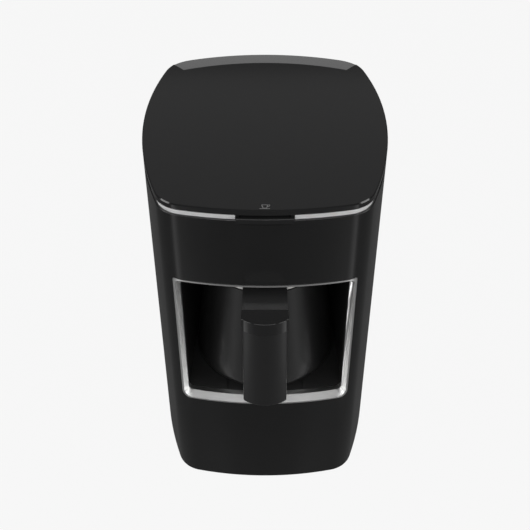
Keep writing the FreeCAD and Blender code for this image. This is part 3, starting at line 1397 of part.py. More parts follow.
def make_pot_plug(s):
    half = s.plug_half
    low = plug_bottom(s)
    face = s.pot_radius - s.pot_reach
    body = new_body("pot_plug")
    start = face - s.plug_reach
    block_back = closed(body, "front", box_points(-half, half, low, low + s.plug_rise), -plug_rear(s))
    pad(body, block_back, plug_rear(s) - start)
    end = float(plug_rear(s)) - 0.01
    edge_feature(body, "Chamfer", lambda edge: edge.BoundBox.YMin > end, s.plug_bevel)
    # The side towards the pot is hollowed to the jacket's curve
    curve = circles(body, "top", [(0, -s.pot_reach)], s.pot_radius + s.touch_gap, low - s.cut_past)
    pocket(body, curve, s.plug_rise + s.cut_past * 2, reverse=True)
    pieces = []
    middle = low + s.plug_rise / 2
    for number, step in enumerate((-1, 0, 1)):
        x = s.pin_pitch * step - s.pin_thick / 2
        pieces.append(block(f"plug_pin_{number}", x, plug_rear(s), middle - s.pin_width / 2, s.pin_thick,
                            s.pin_length - s.key_gap * 2, s.pin_width))
    join("plug_pins", pieces)


def grip_plan(body, s, level, grow, depth):
    """Plan of the handle: a bowed front, straight sides and a flat rear."""
    half = s.grip_half + grow
    front = s.grip_face + grow
    bow = s.grip_arc + grow
    side = front - bow + root(bow * bow - half * half)
    rear = front - depth
    points = [(-half, -side), (half, -side), (half, -rear), (-half, -rear)]
    return closed(body, "top", points, level, arcs={0: bow})


def upright(edge):
    box = edge.BoundBox
    return box.ZLength > 1 and box.XLength < 0.01 and box.YLength < 0.01


def cap_edge(edge, level, rear, bolt):
    """Upper edges of the cap, apart from the one along the arm and the one round the bolt."""
    box = edge.BoundBox
    half = max(abs(box.XMin), abs(box.XMax))
    return box.ZMin > level - 0.01 and box.YMin < rear - 0.01 and half > bolt * 2


def make_handle(s):
    front = s.grip_face
    # Grip with rounded corners
    body = new_body("handle_grip")
    pad(body, grip_plan(body, s, s.grip_bottom, as_size(0), s.grip_depth), s.grip_top - s.grip_bottom)
    rear = -float(front - s.grip_depth)
    low = float(s.grip_bottom) + 0.01
    edge_feature(body, "Fillet", lambda edge: upright(edge) and edge.BoundBox.YMax > rear - 0.1,
                 s.grip_rear_round)
    edge_feature(body, "Fillet", lambda edge: upright(edge) and edge.BoundBox.YMax < rear - 1,
                 s.grip_edge_round)
    edge_feature(body, "Fillet", lambda edge: edge.BoundBox.ZMax < low, s.grip_edge_round)
    bolt_y = -(front - s.grip_depth / 2)
    hole = circles(body, "top", [(0, bolt_y)], s.bolt_radius + s.screw_gap, s.grip_bottom)
    pocket(body, hole, s.grip_top - s.grip_bottom, reverse=True)
    seat = circles(body, "top", [(0, bolt_y)], s.bolt_radius * 2 + s.screw_gap, s.grip_bottom)
    pocket(body, seat, s.head_thick * 2, reverse=True)
    # Glossy cap over the front of the grip
    body = new_body("handle_cap")
    gap = s.touch_gap
    plan = grip_plan(body, s, s.grip_top + gap, s.cap_proud, s.cap_depth + s.cap_proud)
    pad(body, plan, s.arm_top - s.grip_top - gap)
    passage = circles(body, "top", [(0, bolt_y)], s.bolt_radius + s.screw_gap, s.grip_top)
    pocket(body, passage, s.arm_top - s.grip_top - s.head_thick, reverse=True)
    rear = -float(front - s.cap_depth)
    edge_feature(body, "Fillet", lambda edge: upright(edge) and edge.BoundBox.YMax < rear - 1,
                 s.grip_edge_round)
    edge_feature(body, "Fillet", lambda edge: cap_edge(edge, float(s.arm_top), rear, float(s.bolt_radius)),
                 s.edge_round)
    # Arm from the pot to the cap
    body = new_body("handle_arm")
    cap_rear = front - s.cap_depth - gap
    neck = s.pot_reach + jacket_radius(s, s.arm_top - s.arm_thick - s.bay_floor - s.pot_lift)
    top = s.arm_top - s.arm_dip
    under = top - s.arm_root
    points = [(-cap_rear, s.grip_top + gap), (-cap_rear + s.grip_depth - s.cap_depth, s.grip_top + gap),
              (-neck - s.arm_foot, under), (-neck + s.arm_overlap, under), (-neck + s.arm_overlap, top),
              (-s.arm_fall, s.arm_top), (-cap_rear, s.arm_top)]
    pad(body, closed(body, "side", points, 0, rounds={2: s.arm_round}), s.grip_half * 2, both=True)
    edge_feature(body, "Fillet", lambda edge: edge.BoundBox.XLength < 0.01 and edge.BoundBox.YLength > 1
                 and edge.BoundBox.ZMin > float(top) - 0.01, s.edge_round)
    # The end of the arm is hollowed to the pot's taper, turned about the pot's axis
    foot = s.bay_floor + s.pot_lift
    hollow = new_sketch(body, "side")
    reach = -s.pot_reach
    low = foot + s.pot_height / 2
    high = foot + s.pot_height * 2
    shoulder = s.pot_height - s.rim_roll * 3 - gap
    rim = reach - rim_radius(s) - gap
    points = [(reach, low), (reach, high), (rim, high), (rim, foot + shoulder),
              (reach - jacket_radius(s, shoulder) - gap, foot + shoulder),
              (reach - jacket_radius(s, low - foot) - gap, low)]
    add_loop(hollow, points, {}, {})
    axis = hollow.addGeometry(Part.LineSegment(vector(reach, 0), vector(reach, low)), True)
    pin_point(hollow, axis, 1, reach, 0)
    pin_point(hollow, axis, 2, reach, low)
    groove = body.newObject("PartDesign::Groove", "handle_arm_hollow")
    groove.Profile = hollow
    groove.ReferenceAxis = (hollow, ["Axis0"])
    groove.Angle = 360
    finish_feature(body, groove, hollow, -1)
    places = [(x, foot + z) for x, z in rivet_places(s)]
    pilots = circles(body, "front", places, s.rivet_radius + s.screw_gap, s.pot_reach)
    pocket(body, pilots, rivet_reach(s) + s.rivet_length + s.cut_past - s.pot_reach, reverse=True)


def rivet_places(s):
    """Where the rivets pass through the pot, above its foot."""
    level = s.arm_top - s.arm_dip - s.arm_thick - s.bay_floor - s.pot_lift
    return [(-s.rivet_reach, level), (s.rivet_reach, level)]


def rivet_reach(s):
    """Outer face of the jacket at the rivets, in front of the origin."""
    half, level = rivet_places(s)[1]
    radius = jacket_radius(s, level)
    return s.pot_reach + root(radius * radius - half * half)


def make_handle_rivets(s):
    foot = s.bay_floor + s.pot_lift
    wall = s.jacket_wall + s.liner_gap + s.liner_wall
    start = rivet_reach(s) - wall * 1.5
    pieces = []
    for number, (x, z) in enumerate(rivet_places(s)):
        head = rod(f"rivet_head_{number}", x, -start + s.jacket_wall, foot + z, s.rivet_head, s.jacket_wall)
        shank = rod(f"rivet_shank_{number}", x, -start, foot + z, s.rivet_radius, s.rivet_length)
        for piece in (head, shank):
            piece.Placement.Rotation = FreeCAD.Rotation(FreeCAD.Vector(1, 0, 0), 90)
        pieces.append(fuse(f"rivet_{number}", [head, shank], node=False))
    join("handle_rivets", pieces)


def make_handle_bolt(s):
    front = s.grip_face
    bolt_y = -(front - s.grip_depth / 2)
    length = s.arm_top - s.head_thick - s.grip_bottom - s.head_thick * 2 - s.cut_past
    head = rod("bolt_head", 0, bolt_y, s.grip_bottom + s.head_thick, s.bolt_radius * 2, s.head_thick)
    shank = rod("bolt_shank", 0, bolt_y, s.grip_bottom + s.head_thick * 2, s.bolt_radius, length)
    fuse("handle_bolt", [head, shank])


# Build, check and write

def main():
    s = Sheet(SIZES)
    work_out(s)
    make_base_plate(s)
    make_feet(s)
    make_casing(s)
    make_rear_cover(s)
    make_rear_cover_screws(s)
    make_cord_gland(s)
    make_window_frame(s)
    make_bay_liner(s)
    make_upper_deck(s)
    make_top_cover(s)
    make_trim_strips(s)
    make_start_key(s)
    make_key_pin(s)
    make_key_spring(s)
    make_switch(s)
    make_control_board(s)
    make_light_guide(s)
    make_boil_sensor(s)
    make_power_board(s)
    make_socket(s)
    make_pot_jacket(s)
    make_pot_liner(s)
    make_pot_base(s)
    make_pot_heater(s)
    make_pot_plug(s)
    make_handle(s)
    make_handle_rivets(s)
    make_handle_bolt(s)
    screws("base_screws", s, boss_places(s), s.base_level)
    surface = s.casing_top - s.deck_drop
    screws("deck_screws", s, boss_places(s), surface, up=False)
    screws("top_cover_screws", s, cover_boss_places(s), surface - s.deck_thick - s.head_thick,
           length=s.screw_length - s.head_thick)
    doc.recompute()
    for thing in doc.Objects:
        if "Invalid" in thing.State or "Error" in thing.State:
            raise RuntimeError(f"{thing.Name} is {thing.State}")
    for node in nodes:
        if node.Shape.isNull() or not node.Shape.isValid() or node.Shape.Volume <= 0:
            raise RuntimeError(f"{node.Label} has no valid shape")
    os.makedirs("parts", exist_ok=True)
    for node in nodes:
        node.Shape.exportStep(f"parts/{node.Label}.step")
        print(f"{node.Label:20s} solids {len(node.Shape.Solids)} volume {node.Shape.Volume:10.1f}")
    print(len(nodes), "nodes")


main()
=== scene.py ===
"""Looks of an electric turkish coffee maker with one pot, in metres: +Z up, the front faces -Y."""

import json
import math

import bmesh
import bpy
from mathutils import Matrix, Vector


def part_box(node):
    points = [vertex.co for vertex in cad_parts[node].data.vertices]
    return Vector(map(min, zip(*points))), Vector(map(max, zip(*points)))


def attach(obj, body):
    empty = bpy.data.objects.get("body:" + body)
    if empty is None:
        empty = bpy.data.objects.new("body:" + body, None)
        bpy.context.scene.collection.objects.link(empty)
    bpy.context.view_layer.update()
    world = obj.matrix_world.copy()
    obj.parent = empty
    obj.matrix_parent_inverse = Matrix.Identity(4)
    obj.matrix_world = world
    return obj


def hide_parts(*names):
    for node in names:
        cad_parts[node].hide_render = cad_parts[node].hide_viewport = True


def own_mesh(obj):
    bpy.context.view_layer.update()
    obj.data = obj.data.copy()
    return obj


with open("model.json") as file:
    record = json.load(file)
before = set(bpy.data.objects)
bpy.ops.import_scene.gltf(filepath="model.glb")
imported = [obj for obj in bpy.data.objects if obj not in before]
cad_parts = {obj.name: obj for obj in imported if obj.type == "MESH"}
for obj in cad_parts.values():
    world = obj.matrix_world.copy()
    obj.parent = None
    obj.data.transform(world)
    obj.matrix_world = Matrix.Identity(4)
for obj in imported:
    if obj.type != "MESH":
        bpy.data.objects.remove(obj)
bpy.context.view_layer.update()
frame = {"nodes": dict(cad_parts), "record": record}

MM = 0.001
MICRON = 0.000001

NODES = frame["nodes"]
RECORD = frame["record"]
BODY_OF = {node: body for body, nodes in RECORD["behaviour"]["bodies"].items() for node in nodes}
SLOT_OF = {entry["node"]: entry["material_slot"] for entry in RECORD["subparts"]}

# Camera of the photograph, found from the outline of the top and the edges of the front; the tilt
# is 0 when it looks straight down
CAMERA_PLACE = (0, -0.4974, 0.54374)
CAMERA_TILT = math.radians(50)
CAMERA_LENS = 58.96
CAMERA_FILM = 36
CAMERA_NEAREST = 10 * MM


# Tools for materials

# Sockets of the node that mixes two colours
MIX_SHARE, MIX_FIRST, MIX_SECOND = 0, 6, 7
MIX_RESULT = 2


def new_finish(name, colour, roughness, metallic=0.0, **sockets):
    """A material with a principled shader; the sockets hold its other settings by name."""
    material = bpy.data.materials.new(name)
    material.use_nodes = True
    shader = material.node_tree.nodes["Principled BSDF"]
    shader.inputs["Base Color"].default_value = (*colour, 1)
    shader.inputs["Roughness"].default_value = roughness
    shader.inputs["Metallic"].default_value = metallic
    for socket, value in sockets.items():
        shader.inputs[socket.replace("_", " ")].default_value = value
    return material, shader


def add_node(material, kind, **settings):
    """A new node of a material or world, with its settings by name."""
    node = material.node_tree.nodes.new(kind)
    for setting, value in settings.items():
        setattr(node, setting, value)
    return node


def object_place(material, scale=(1, 1, 1), shift=(0, 0, 0)):
    """Object coordinates, stretched and then shifted."""
    coordinates = add_node(material, "ShaderNodeTexCoord")
    mapping = add_node(material, "ShaderNodeMapping")
    mapping.inputs["Scale"].default_value = scale
    mapping.inputs["Location"].default_value = shift
    material.node_tree.links.new(coordinates.outputs["Object"], mapping.inputs["Vector"])
    return mapping.outputs["Vector"]


def separate_axes(material, place):
    """The x, y and z of a place."""
    axes = add_node(material, "ShaderNodeSeparateXYZ")
    material.node_tree.links.new(place, axes.inputs["Vector"])
    return axes.outputs["X"], axes.outputs["Y"], axes.outputs["Z"]


def noise(material, size, detail=2.0, rough=0.5, place=None):
    """Noise with features of about this size."""
    texture = add_node(material, "ShaderNodeTexNoise")
    texture.inputs["Scale"].default_value = 1 / size
    texture.inputs["Detail"].default_value = detail
    texture.inputs["Roughness"].default_value = rough
    material.node_tree.links.new(place or object_place(material), texture.inputs["Vector"])
    return texture.outputs["Fac"]


def spread(material, value, low, high, from_low=0.3, from_high=0.7):
    """Map a value to the range from low to high. Noise lies mostly between 0.3 and 0.7."""
    ramp = add_node(material, "ShaderNodeMapRange")
    ramp.inputs["From Min"].default_value = from_low
    ramp.inputs["From Max"].default_value = from_high
    ramp.inputs["To Min"].default_value = low
    ramp.inputs["To Max"].default_value = high
    material.node_tree.links.new(value, ramp.inputs["Value"])
    return ramp.outputs["Result"]


def calc(material, operation, first, second=0.0):
    """A math node on two values, each a number or an output of another node."""
    node = add_node(material, "ShaderNodeMath", operation=operation)
    for socket, value in zip(node.inputs, (first, second)):
        if isinstance(value, (int, float)):
            socket.default_value = value
        else:
            material.node_tree.links.new(value, socket)
    return node.outputs[0]


def angle_from_front(material, x, y):
    """The angle of a place round the upright axis, from 0 at the front."""
    return calc(material, "ARCTAN2", x, calc(material, "MULTIPLY", y, -1))


def mixed_colour(material, share, first, second):
    """A colour between two, by a share of 0 to 1."""
    mix = add_node(material, "ShaderNodeMix", data_type="RGBA")
    mix.inputs[MIX_FIRST].default_value = (*first, 1)
    mix.inputs[MIX_SECOND].default_value = (*second, 1)
    material.node_tree.links.new(share, mix.inputs[MIX_SHARE])
    return mix.outputs[MIX_RESULT]


def shade(colour, factor):
    """A lighter or darker form of a colour."""
    return tuple(channel * factor for channel in colour)


def vary_roughness(material, shader, texture, roughness, amount):
    """A roughness that follows a texture, up and down by this share."""
    uneven = spread(material, texture, roughness * (1 - amount), roughness * (1 + amount))
    material.node_tree.links.new(uneven, shader.inputs["Roughness"])


def vary_colour(material, shader, size, colour, amount):
    """A colour that is slightly uneven, up and down by this share, in patches of this size."""
    patches = spread(material, noise(material, size, detail=3), 0, 1)
    uneven = mixed_colour(material, patches, shade(colour, 1 - amount), shade(colour, 1 + amount))
    material.node_tree.links.new(uneven, shader.inputs["Base Color"])


def relief(material, shader, height, depth):
    """Bump from a height of 0 to 1, this deep."""
    bump = add_node(material, "ShaderNodeBump")
    bump.inputs["Distance"].default_value = depth
    bump.inputs["Strength"].default_value = 1.0
    links = material.node_tree.links
    links.new(height, bump.inputs["Height"])
    links.new(bump.outputs["Normal"], shader.inputs["Normal"])


# Finishes

def moulded(name, colour, roughness, grain_size, grain_depth):
    """Moulded plastic: a fine grain, and a gloss and colour that vary a little."""
    material, shader = new_finish(name, colour, roughness)
    vary_roughness(material, shader, noise(material, 12 * MM, detail=4, rough=0.6), roughness, amount=0.03)
    vary_colour(material, shader, 8 * MM, colour, amount=0.04)
    relief(material, shader, noise(material, grain_size), grain_depth)
    return material


def metal(name, colour, roughness, grain_size=0.4 * MM, grain_depth=4 * MICRON, stretch=(1, 1, 1),
          uneven=0.2):
    """Metal with a grain that can be stretched along a direction."""
    material, shader = new_finish(name, colour, roughness, metallic=1.0)
    grain = noise(material, grain_size, detail=3, rough=0.6, place=object_place(material, scale=stretch))
    vary_roughness(material, shader, grain, roughness, amount=uneven)
    vary_colour(material, shader, 15 * MM, colour, amount=0.03)
    relief(material, shader, grain, grain_depth)
    return material


def turned_steel(name, colour, roughness, axis_y, pitch=0.5 * MM, across=0.05):
    """Steel with the fine rings that brushing on a lathe leaves, round an upright axis.

    The rings are a noise that changes with the height, and hardly across.
    """
    material, shader = new_finish(name, colour, roughness, metallic=1.0)
    place = object_place(material, scale=(across, across, 1), shift=(0, -axis_y * across, 0))
    rings = noise(material, pitch, rough=0.6, place=place)
    vary_roughness(material, shader, rings, roughness, amount=0.15)
    vary_colour(material, shader, 20 * MM, colour, amount=0.03)
    relief(material, shader, rings, 1 * MICRON)
    return material


def diamond_trim(name, colour, pitch, radius, groove=0.05, flank=0.22):
    """Silver strip with raised diamonds, round the front at this radius.

    Slanting grooves part the diamonds: groove and flank say, as shares of the pitch, how far from
    the middle of a groove its floor ends and a diamond's level top begins.
    """
    material, shader = new_finish(name, colour, 0.45, metallic=0.5)
    x, y, z = separate_axes(material, object_place(material))
    along = calc(material, "MULTIPLY", angle_from_front(material, x, y), radius)
    rising = calc(material, "PINGPONG", calc(material, "ADD", along, z), pitch / 2)
    falling = calc(material, "PINGPONG", calc(material, "SUBTRACT", along, z), pitch / 2)
    from_groove = calc(material, "MINIMUM", rising, falling)
    diamonds = spread(material, from_groove, 0, 1, pitch * groove, pitch * flank)
    # The grooves are painted at half the colour of the diamonds' tops: painted shade in the grooves
    painted_groove_shade = mixed_colour(material, diamonds, shade(colour, 0.5), colour)
    material.node_tree.links.new(painted_groove_shade, shader.inputs["Base Color"])
    relief(material, shader, diamonds, 0.1 * MM)
    return material


def circuit_board(name, pattern_scale=160):
    """Green solder mask over fine copper tracks, which lie like the joints of small bricks."""
    material, shader = new_finish(name, (0.015, 0.09, 0.035), 0.35)
    links = material.node_tree.links
    tracks = add_node(material, "ShaderNodeTexBrick")
    tracks.inputs["Scale"].default_value = pattern_scale
    tracks.inputs["Mortar Size"].default_value = 0.03
    tracks.inputs["Color1"].default_value = (0.012, 0.08, 0.03, 1)
    tracks.inputs["Color2"].default_value = (0.018, 0.11, 0.04, 1)
    tracks.inputs["Mortar"].default_value = (0.05, 0.2, 0.06, 1)
    links.new(object_place(material), tracks.inputs["Vector"])
    links.new(tracks.outputs["Color"], shader.inputs["Base Color"])
    relief(material, shader, tracks.outputs["Fac"], 30 * MICRON)
    return material


def clear_resin(name):
    """Clear resin that passes the light of the indicator and of the sensor."""
    material, shader = new_finish(name, (0.9, 0.93, 0.93), 0.08, IOR=1.49, Transmission_Weight=0.9)
    relief(material, shader, noise(material, 4 * MM), 10 * MICRON)
    return material


TRIM_RADIUS = -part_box("trim_strip_left")[0].y
POT_AXIS_Y = (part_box("pot_liner")[0].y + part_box("pot_liner")[1].y) / 2

# A moulding has a colour, a roughness, and the size and the depth of its grain
FINISHES = {
    "casing": moulded("casing_satin", (0.0055, 0.0055, 0.0056), 0.22, 0.6 * MM, 0.6 * MICRON),
    "cover": moulded("cover_smooth", (0.008, 0.008, 0.0082), 0.1, 0.6 * MM, 0.3 * MICRON),
    "key": moulded("key_smooth", (0.008, 0.008, 0.0082), 0.2, 1 * MM, 1 * MICRON),
    "inner": moulded("inner_plain", (0.014, 0.014, 0.014), 0.4, 0.8 * MM, 2 * MICRON),
    "trim": diamond_trim("trim_diamonds", (0.97, 0.97, 0.97), 1.35 * MM, TRIM_RADIUS),
    "frame": metal("frame_satin", (0.75, 0.75, 0.745), 0.3, grain_depth=0.3 * MICRON, uneven=0.05),
    "jacket": moulded("jacket_coat", (0.01, 0.01, 0.0101), 0.34, 2 * MM, 1 * MICRON),
    "steel": turned_steel("liner_steel", (0.62, 0.61, 0.59), 0.24, POT_AXIS_Y),
    "grip": moulded("grip_satin", (0.009, 0.009, 0.0092), 0.33, 0.6 * MM, 2 * MICRON),
    "arm": moulded("arm_satin", (0.022, 0.022, 0.0223), 0.36, 0.6 * MM, 2 * MICRON),
    "cap": moulded("cap_gloss", (0.008, 0.008, 0.0082), 0.06, 3 * MM, 0.5 * MICRON),
    "print": moulded("print_grey", (0.24, 0.24, 0.24), 0.5, 0.4 * MM, 1 * MICRON),
    "rubber": moulded("foot_rubber", (0.012, 0.012, 0.012), 0.7, 0.5 * MM, 10 * MICRON),
    "screw": metal("screw_zinc", (0.5, 0.5, 0.49), 0.32, grain_size=0.6 * MM),
    "spring": metal("spring_wire", (0.55, 0.55, 0.54), 0.25, grain_size=0.3 * MM),
    "board": circuit_board("board_green"),
    "device": moulded("device_epoxy", (0.015, 0.015, 0.016), 0.45, 0.4 * MM, 10 * MICRON),
    "light": moulded("pale_resin", (0.75, 0.74, 0.68), 0.4, 0.6 * MM, 6 * MICRON),
    "clear": clear_resin("clear_resin"),
    "contact": metal("contact_brass", (0.76, 0.58, 0.28), 0.28),
    "terminal": moulded("terminal_green", (0.03, 0.16, 0.06), 0.4, 0.5 * MM, 6 * MICRON),
    "winding": metal("core_iron", (0.16, 0.12, 0.1), 0.5, stretch=(1, 1, 12)),
    "alu": metal("cast_aluminium", (0.6, 0.6, 0.6), 0.42, grain_size=0.7 * MM, grain_depth=20 * MICRON),
}


# Pieces shown in place of solids

# Corners of a solid's mesh closer than this are one, and so are faces that turn less than this
MERGE_REACH = 2 * MICRON
FLAT_TURN = math.radians(0.05)

# Edges that turn more than this stay sharp, or are softened where the piece has soft edges
SHARP_TURN = math.radians(32)
SOFT_EDGE_STEPS = 2

# A face is level if its normal points up by more than this
LEVEL_NORMAL = 0.99999

# Pieces shown from a merged copy of their solid, some with the edges softened by this width
SHOWN_SOLIDS = ("top_cover", "outer_casing", "start_key", "window_frame", "bay_liner", "pot_jacket",
                "pot_liner", "pot_plug", "handle_grip", "handle_cap", "rear_cover", "trim_strip_left",
                "trim_strip_right", "cord_gland")
SOFT_EDGES = {"window_frame": 0.3 * MM, "pot_plug": 0.3 * MM, "rear_cover": 0.3 * MM, "cord_gland": 0.2 * MM}


def smooth_faces(mesh):
    """Smooth the faces, but keep the edges sharp that turn sharply or that end a level face."""
    work = bmesh.new()
    work.from_mesh(mesh)
    for face in work.faces:
        face.smooth = True
    for edge in work.edges:
        level = [face for face in edge.link_faces if face.normal.z > LEVEL_NORMAL]
        sharp = not edge.is_manifold or edge.calc_face_angle(0) > SHARP_TURN
        edge.smooth = not sharp and len(level) != 1
    work.to_mesh(mesh)
    work.free()


def show(mesh, name, body, slot, material=None, replaces=()):
    """Put a finished mesh in the scene as a piece that rides on a body."""
    piece = bpy.data.objects.new(name, mesh)
    bpy.context.scene.collection.objects.link(piece)
    mesh.materials.clear()
    mesh.materials.append(material or FINISHES[slot])
    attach(piece, body)
    if replaces:
        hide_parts(*replaces)
    return piece


def soften_edges(piece, width):
    """A narrow bevel along the sharp edges."""
    bevel = piece.modifiers.new("soft_edges", "BEVEL")
    bevel.width = width
    bevel.segments = SOFT_EDGE_STEPS
    bevel.limit_method = "ANGLE"
    bevel.angle_limit = SHARP_TURN
    bevel.harden_normals = True
    bevel.use_clamp_overlap = True


def dressed(node, material=None):
    """A piece in its solid's own shape, with smooth faces and, where it has them, softened edges."""
    work = bmesh.new()
    work.from_mesh(NODES[node].data)
    bmesh.ops.remove_doubles(work, verts=work.verts, dist=MERGE_REACH)
    bmesh.ops.dissolve_limit(work, angle_limit=FLAT_TURN, verts=work.verts, edges=work.edges)
    mesh = bpy.data.meshes.new(node + "_shown")
    work.to_mesh(mesh)
    work.free()
    smooth_faces(mesh)
    piece = show(mesh, node + "_shown", BODY_OF[node], SLOT_OF[node], material, replaces=(node,))
    if node in SOFT_EDGES:
        soften_edges(piece, SOFT_EDGES[node])
    return piece


def pressed_key_spring():
    """The key's spring, shown in its solid's shape with a mesh of its own."""
    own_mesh(dressed("key_spring"))


# Sign of a cup, printed on the cover above the key

# Lines of the print with their corners, in millimetres from its middle
CUP = ((-1.9, 2.1), (1.8, 2.1), (0.9, -1), (-1, -1), (-1.9, 2.1))
CUP_EAR = ((1.7, 2.1), (2.9, 2.1), (2.6, 0.7), (1.3, 0.2))
SAUCER = ((-2.8, -1.6), (2.8, -1.6))
PRINT_LINE = 0.4 * MM
PRINT_THICKNESS = 0.01 * MM

# Middle of the print, from the middle of the cover and from its front edge
SIGN_ASIDE = -0.1 * MM
SIGN_INSET = 3.4 * MM


def ribbon(work, line, low, high):
    """A line of the print, from corner to corner and between two levels."""
    made = []
    for start, end in zip(line[:-1], line[1:]):
        over = (end - start).normalized() * PRINT_LINE / 2
        side = Vector((-over.y, over.x))
        begin, stop = start - over, end + over
        corners = (begin - side, stop - side, stop + side, begin + side)
        made.append(work.faces.new([work.verts.new((*corner, low)) for corner in corners]))
    grown = bmesh.ops.extrude_face_region(work, geom=made)
    raised = [part for part in grown["geom"] if isinstance(part, bmesh.types.BMVert)]
    bmesh.ops.translate(work, verts=raised, vec=(0, 0, high - low))


def cup_sign():
    """Small printed cup on a saucer."""
    cover_low, cover_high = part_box("top_cover")
    centre = Vector((SIGN_ASIDE, cover_low.y + SIGN_INSET))
    work = bmesh.new()
    for line in (CUP, CUP_EAR, SAUCER):
        corners = [centre + Vector(corner) * MM for corner in line]
        ribbon(work, corners, cover_high.z, cover_high.z + PRINT_THICKNESS)
    bmesh.ops.recalc_face_normals(work, faces=work.faces)
    mesh = bpy.data.meshes.new("cup_sign")
    work.to_mesh(mesh)
    work.free()
    show(mesh, "cup_sign", BODY_OF["top_cover"], "cover", FINISHES["print"])


# Floor and surroundings

# The floor reaches this far to each side, and lies this far below the feet
FLOOR_REACH = 3.0
FLOOR_DROP = 0.3 * MM

# Share of plain white that the camera sees in the floor
FLOOR_WHITE = 0.92

# Share of white that the floor shows only in glossy faces, a painted reflection, by the degrees round the
# object from the front, and what a wedge on each side adds to it as painted highlights on the body's
# corners: nothing up to its start, and all from its full reach
BASE_REFLECTION_SHARES = ((0, 0.03), (20, 0.04), (32, 0.08), (50, 0.06), (80, 0.02), (180, 0.02))
HIGHLIGHT_WEDGE_SHARES = ((0, 0), (28, 0.02), (40, 0.16), (47, 0.6), (54, 0.9), (57, 0.0), (180, 0.0))
HIGHLIGHT_WEDGE_START = 0.14
HIGHLIGHT_WEDGE_FULL = 0.21
SHARES_CENTRE_Y = -0.05


def share_by_angle(material, angle, shares):
    """A share that changes with the angle, from pairs of degrees and share."""
    ramp = add_node(material, "ShaderNodeValToRGB")
    stops = ramp.color_ramp.elements
    first_stops = len(stops)
    for number, (degrees, share) in enumerate(shares):
        place = degrees / 180
        stop = stops[number] if number < first_stops else stops.new(place)
        stop.position = place
        stop.color = (share, share, share, 1)
    material.node_tree.links.new(spread(material, angle, 0, 1, 0, math.pi), ramp.inputs["Fac"])
    return ramp.outputs["Color"]


def painted_reflection_share(material):
    """How much white the floor glows with in glossy faces, a painted reflection: most in a wedge on each
    side of the front, which paints highlights on the body's front corners.
    """
    place = object_place(material, shift=(0, -SHARES_CENTRE_Y, 0))
    x, y, _ = separate_axes(material, place)
    angle = angle_from_front(material, calc(material, "ABSOLUTE", x), y)
    away = add_node(material, "ShaderNodeVectorMath", operation="LENGTH")
    material.node_tree.links.new(place, away.inputs[0])
    fade = spread(material, away.outputs["Value"], 0, 1, HIGHLIGHT_WEDGE_START, HIGHLIGHT_WEDGE_FULL)
    # Painted highlights: a wedge of white glow on each side, seen only in glossy faces
    painted_highlight_wedge = calc(material, "MULTIPLY", share_by_angle(material, angle, HIGHLIGHT_WEDGE_SHARES), fade)
    return calc(material, "ADD", painted_highlight_wedge, share_by_angle(material, angle, BASE_REFLECTION_SHARES))


def rays(material):
    """Camera rays, and the rays that metal and glass send on, each as 0 or 1."""
    path = add_node(material, "ShaderNodeLightPath")
    bounced = calc(material, "ADD", path.outputs["Is Glossy Ray"], path.outputs["Is Transmission Ray"])
    return path.outputs["Is Camera Ray"], bounced


def floor_finish():
    """Pale floor that the camera sees as nearly white, and that takes the object's shadow; in glossy faces
    it glows with a painted reflection.
    """
    material, shader = new_finish("floor_pale", (0.15, 0.15, 0.15), 0.9, Specular_IOR_Level=0.0)
    links = material.node_tree.links
    white = add_node(material, "ShaderNodeEmission")
    white.inputs["Color"].default_value = (1, 1, 1, 1)
    white.inputs["Strength"].default_value = 1.0
    camera_ray, bounced_ray = rays(material)
    seen = calc(material, "MULTIPLY", camera_ray, FLOOR_WHITE)
    # Painted reflection: white that the floor shows only in glossy faces, brightest in the wedges that paint
    # highlights on the body's corners
    mirrored = calc(material, "MULTIPLY", bounced_ray, painted_reflection_share(material))
    mix = add_node(material, "ShaderNodeMixShader")
    share, first, second = mix.inputs
    links.new(calc(material, "ADD", seen, mirrored), share)
    links.new(shader.outputs["BSDF"], first)
    links.new(white.outputs["Emission"], second)
    links.new(mix.outputs["Shader"], material.node_tree.nodes["Material Output"].inputs["Surface"])
    return material


def plain_floor():
    """A level floor, which is no part of the object."""
    mesh = bpy.data.meshes.new("floor")
    work = bmesh.new()
    bmesh.ops.create_grid(work, x_segments=1, y_segments=1, size=FLOOR_REACH)
    bmesh.ops.translate(work, verts=work.verts, vec=(0, 0, -FLOOR_DROP))
    work.to_mesh(mesh)
    work.free()
    floor = bpy.data.objects.new("floor", mesh)
    bpy.context.scene.collection.objects.link(floor)
    mesh.materials.append(floor_finish())


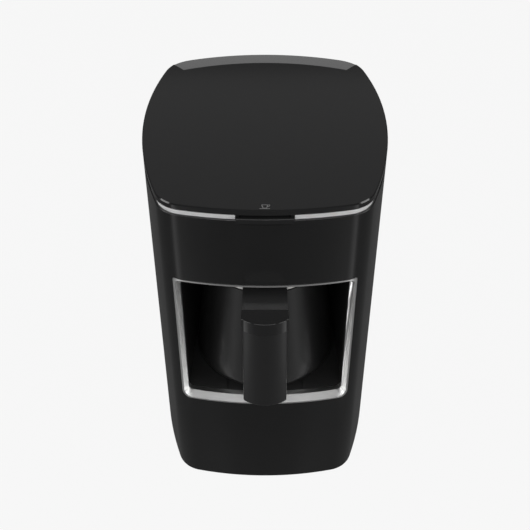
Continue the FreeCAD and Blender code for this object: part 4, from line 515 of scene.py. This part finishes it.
def sky(strength, seen, mirrored):
    """Even light from all round: its strength on the object, to the camera and in glossy faces."""
    world = bpy.data.worlds.new("studio")
    bpy.context.scene.world = world
    world.use_nodes = True
    background = world.node_tree.nodes["Background"]
    background.inputs["Color"].default_value = (1, 1, 1, 1)
    camera_ray, bounced_ray = rays(world)
    direct = calc(world, "MULTIPLY", camera_ray, seen - strength)
    bounced = calc(world, "MULTIPLY", bounced_ray, mirrored - strength)
    level = calc(world, "ADD", calc(world, "ADD", direct, bounced), strength)
    world.node_tree.links.new(level, background.inputs["Strength"])


# Lamps and camera

def soft_light(name, place, aim, width, height, power):
    """A lamp with a white screen of this width and height, and a power in watts."""
    lamp = bpy.data.lights.new(name, "AREA")
    lamp.shape = "RECTANGLE"
    lamp.size = width
    lamp.size_y = height
    lamp.energy = power
    light = bpy.data.objects.new(name, lamp)
    bpy.context.scene.collection.objects.link(light)
    turn = (Vector(aim) - Vector(place)).to_track_quat("-Z", "Y")
    light.matrix_world = Matrix.Translation(place) @ turn.to_matrix().to_4x4()


def photo_camera():
    """The camera of the photograph."""
    camera = bpy.data.cameras.new("photo_camera")
    camera.lens = CAMERA_LENS
    camera.sensor_width = CAMERA_FILM
    camera.clip_start = CAMERA_NEAREST
    thing = bpy.data.objects.new("photo_camera", camera)
    bpy.context.scene.collection.objects.link(thing)
    thing.matrix_world = Matrix.Translation(CAMERA_PLACE) @ Matrix.Rotation(CAMERA_TILT, 4, "X")
    bpy.context.scene.camera = thing


# The scene

for node, solid in NODES.items():
    solid.data.materials.clear()
    solid.data.materials.append(FINISHES[SLOT_OF[node]])

for node in SHOWN_SOLIDS:
    dressed(node)
# The arm is paler and less glossy than the cap, whose slot it has
dressed("handle_arm", FINISHES["arm"])
cup_sign()
pressed_key_spring()

plain_floor()
sky(strength=0.05, seen=0.93, mirrored=0.12)
soft_light("rear_card", place=(0, 1.9, 0.734), aim=(0, 0, 0.25), width=1.1, height=0.46, power=1.3)
soft_light("rear_box", place=(0, 1.48, 1.505), aim=(0, 0, 0.25), width=1.8, height=0.95, power=0.88)
soft_light("front_box", place=(0, -1.6, 1.3), aim=(0, 0, 0.2), width=1.8, height=0.9, power=19)
for side in (-1, 1):
    soft_light("side_box", place=(side * 1.4, -0.3, 0.7), aim=(0, 0, 0.15), width=0.7, height=1.2, power=11)
    soft_light("corner_box", place=(side * 1.3, -1.2, 0.7), aim=(0, 0, 0.15), width=0.6, height=1.2, power=7)
photo_camera()
bpy.context.scene.view_settings.view_transform = "Standard"
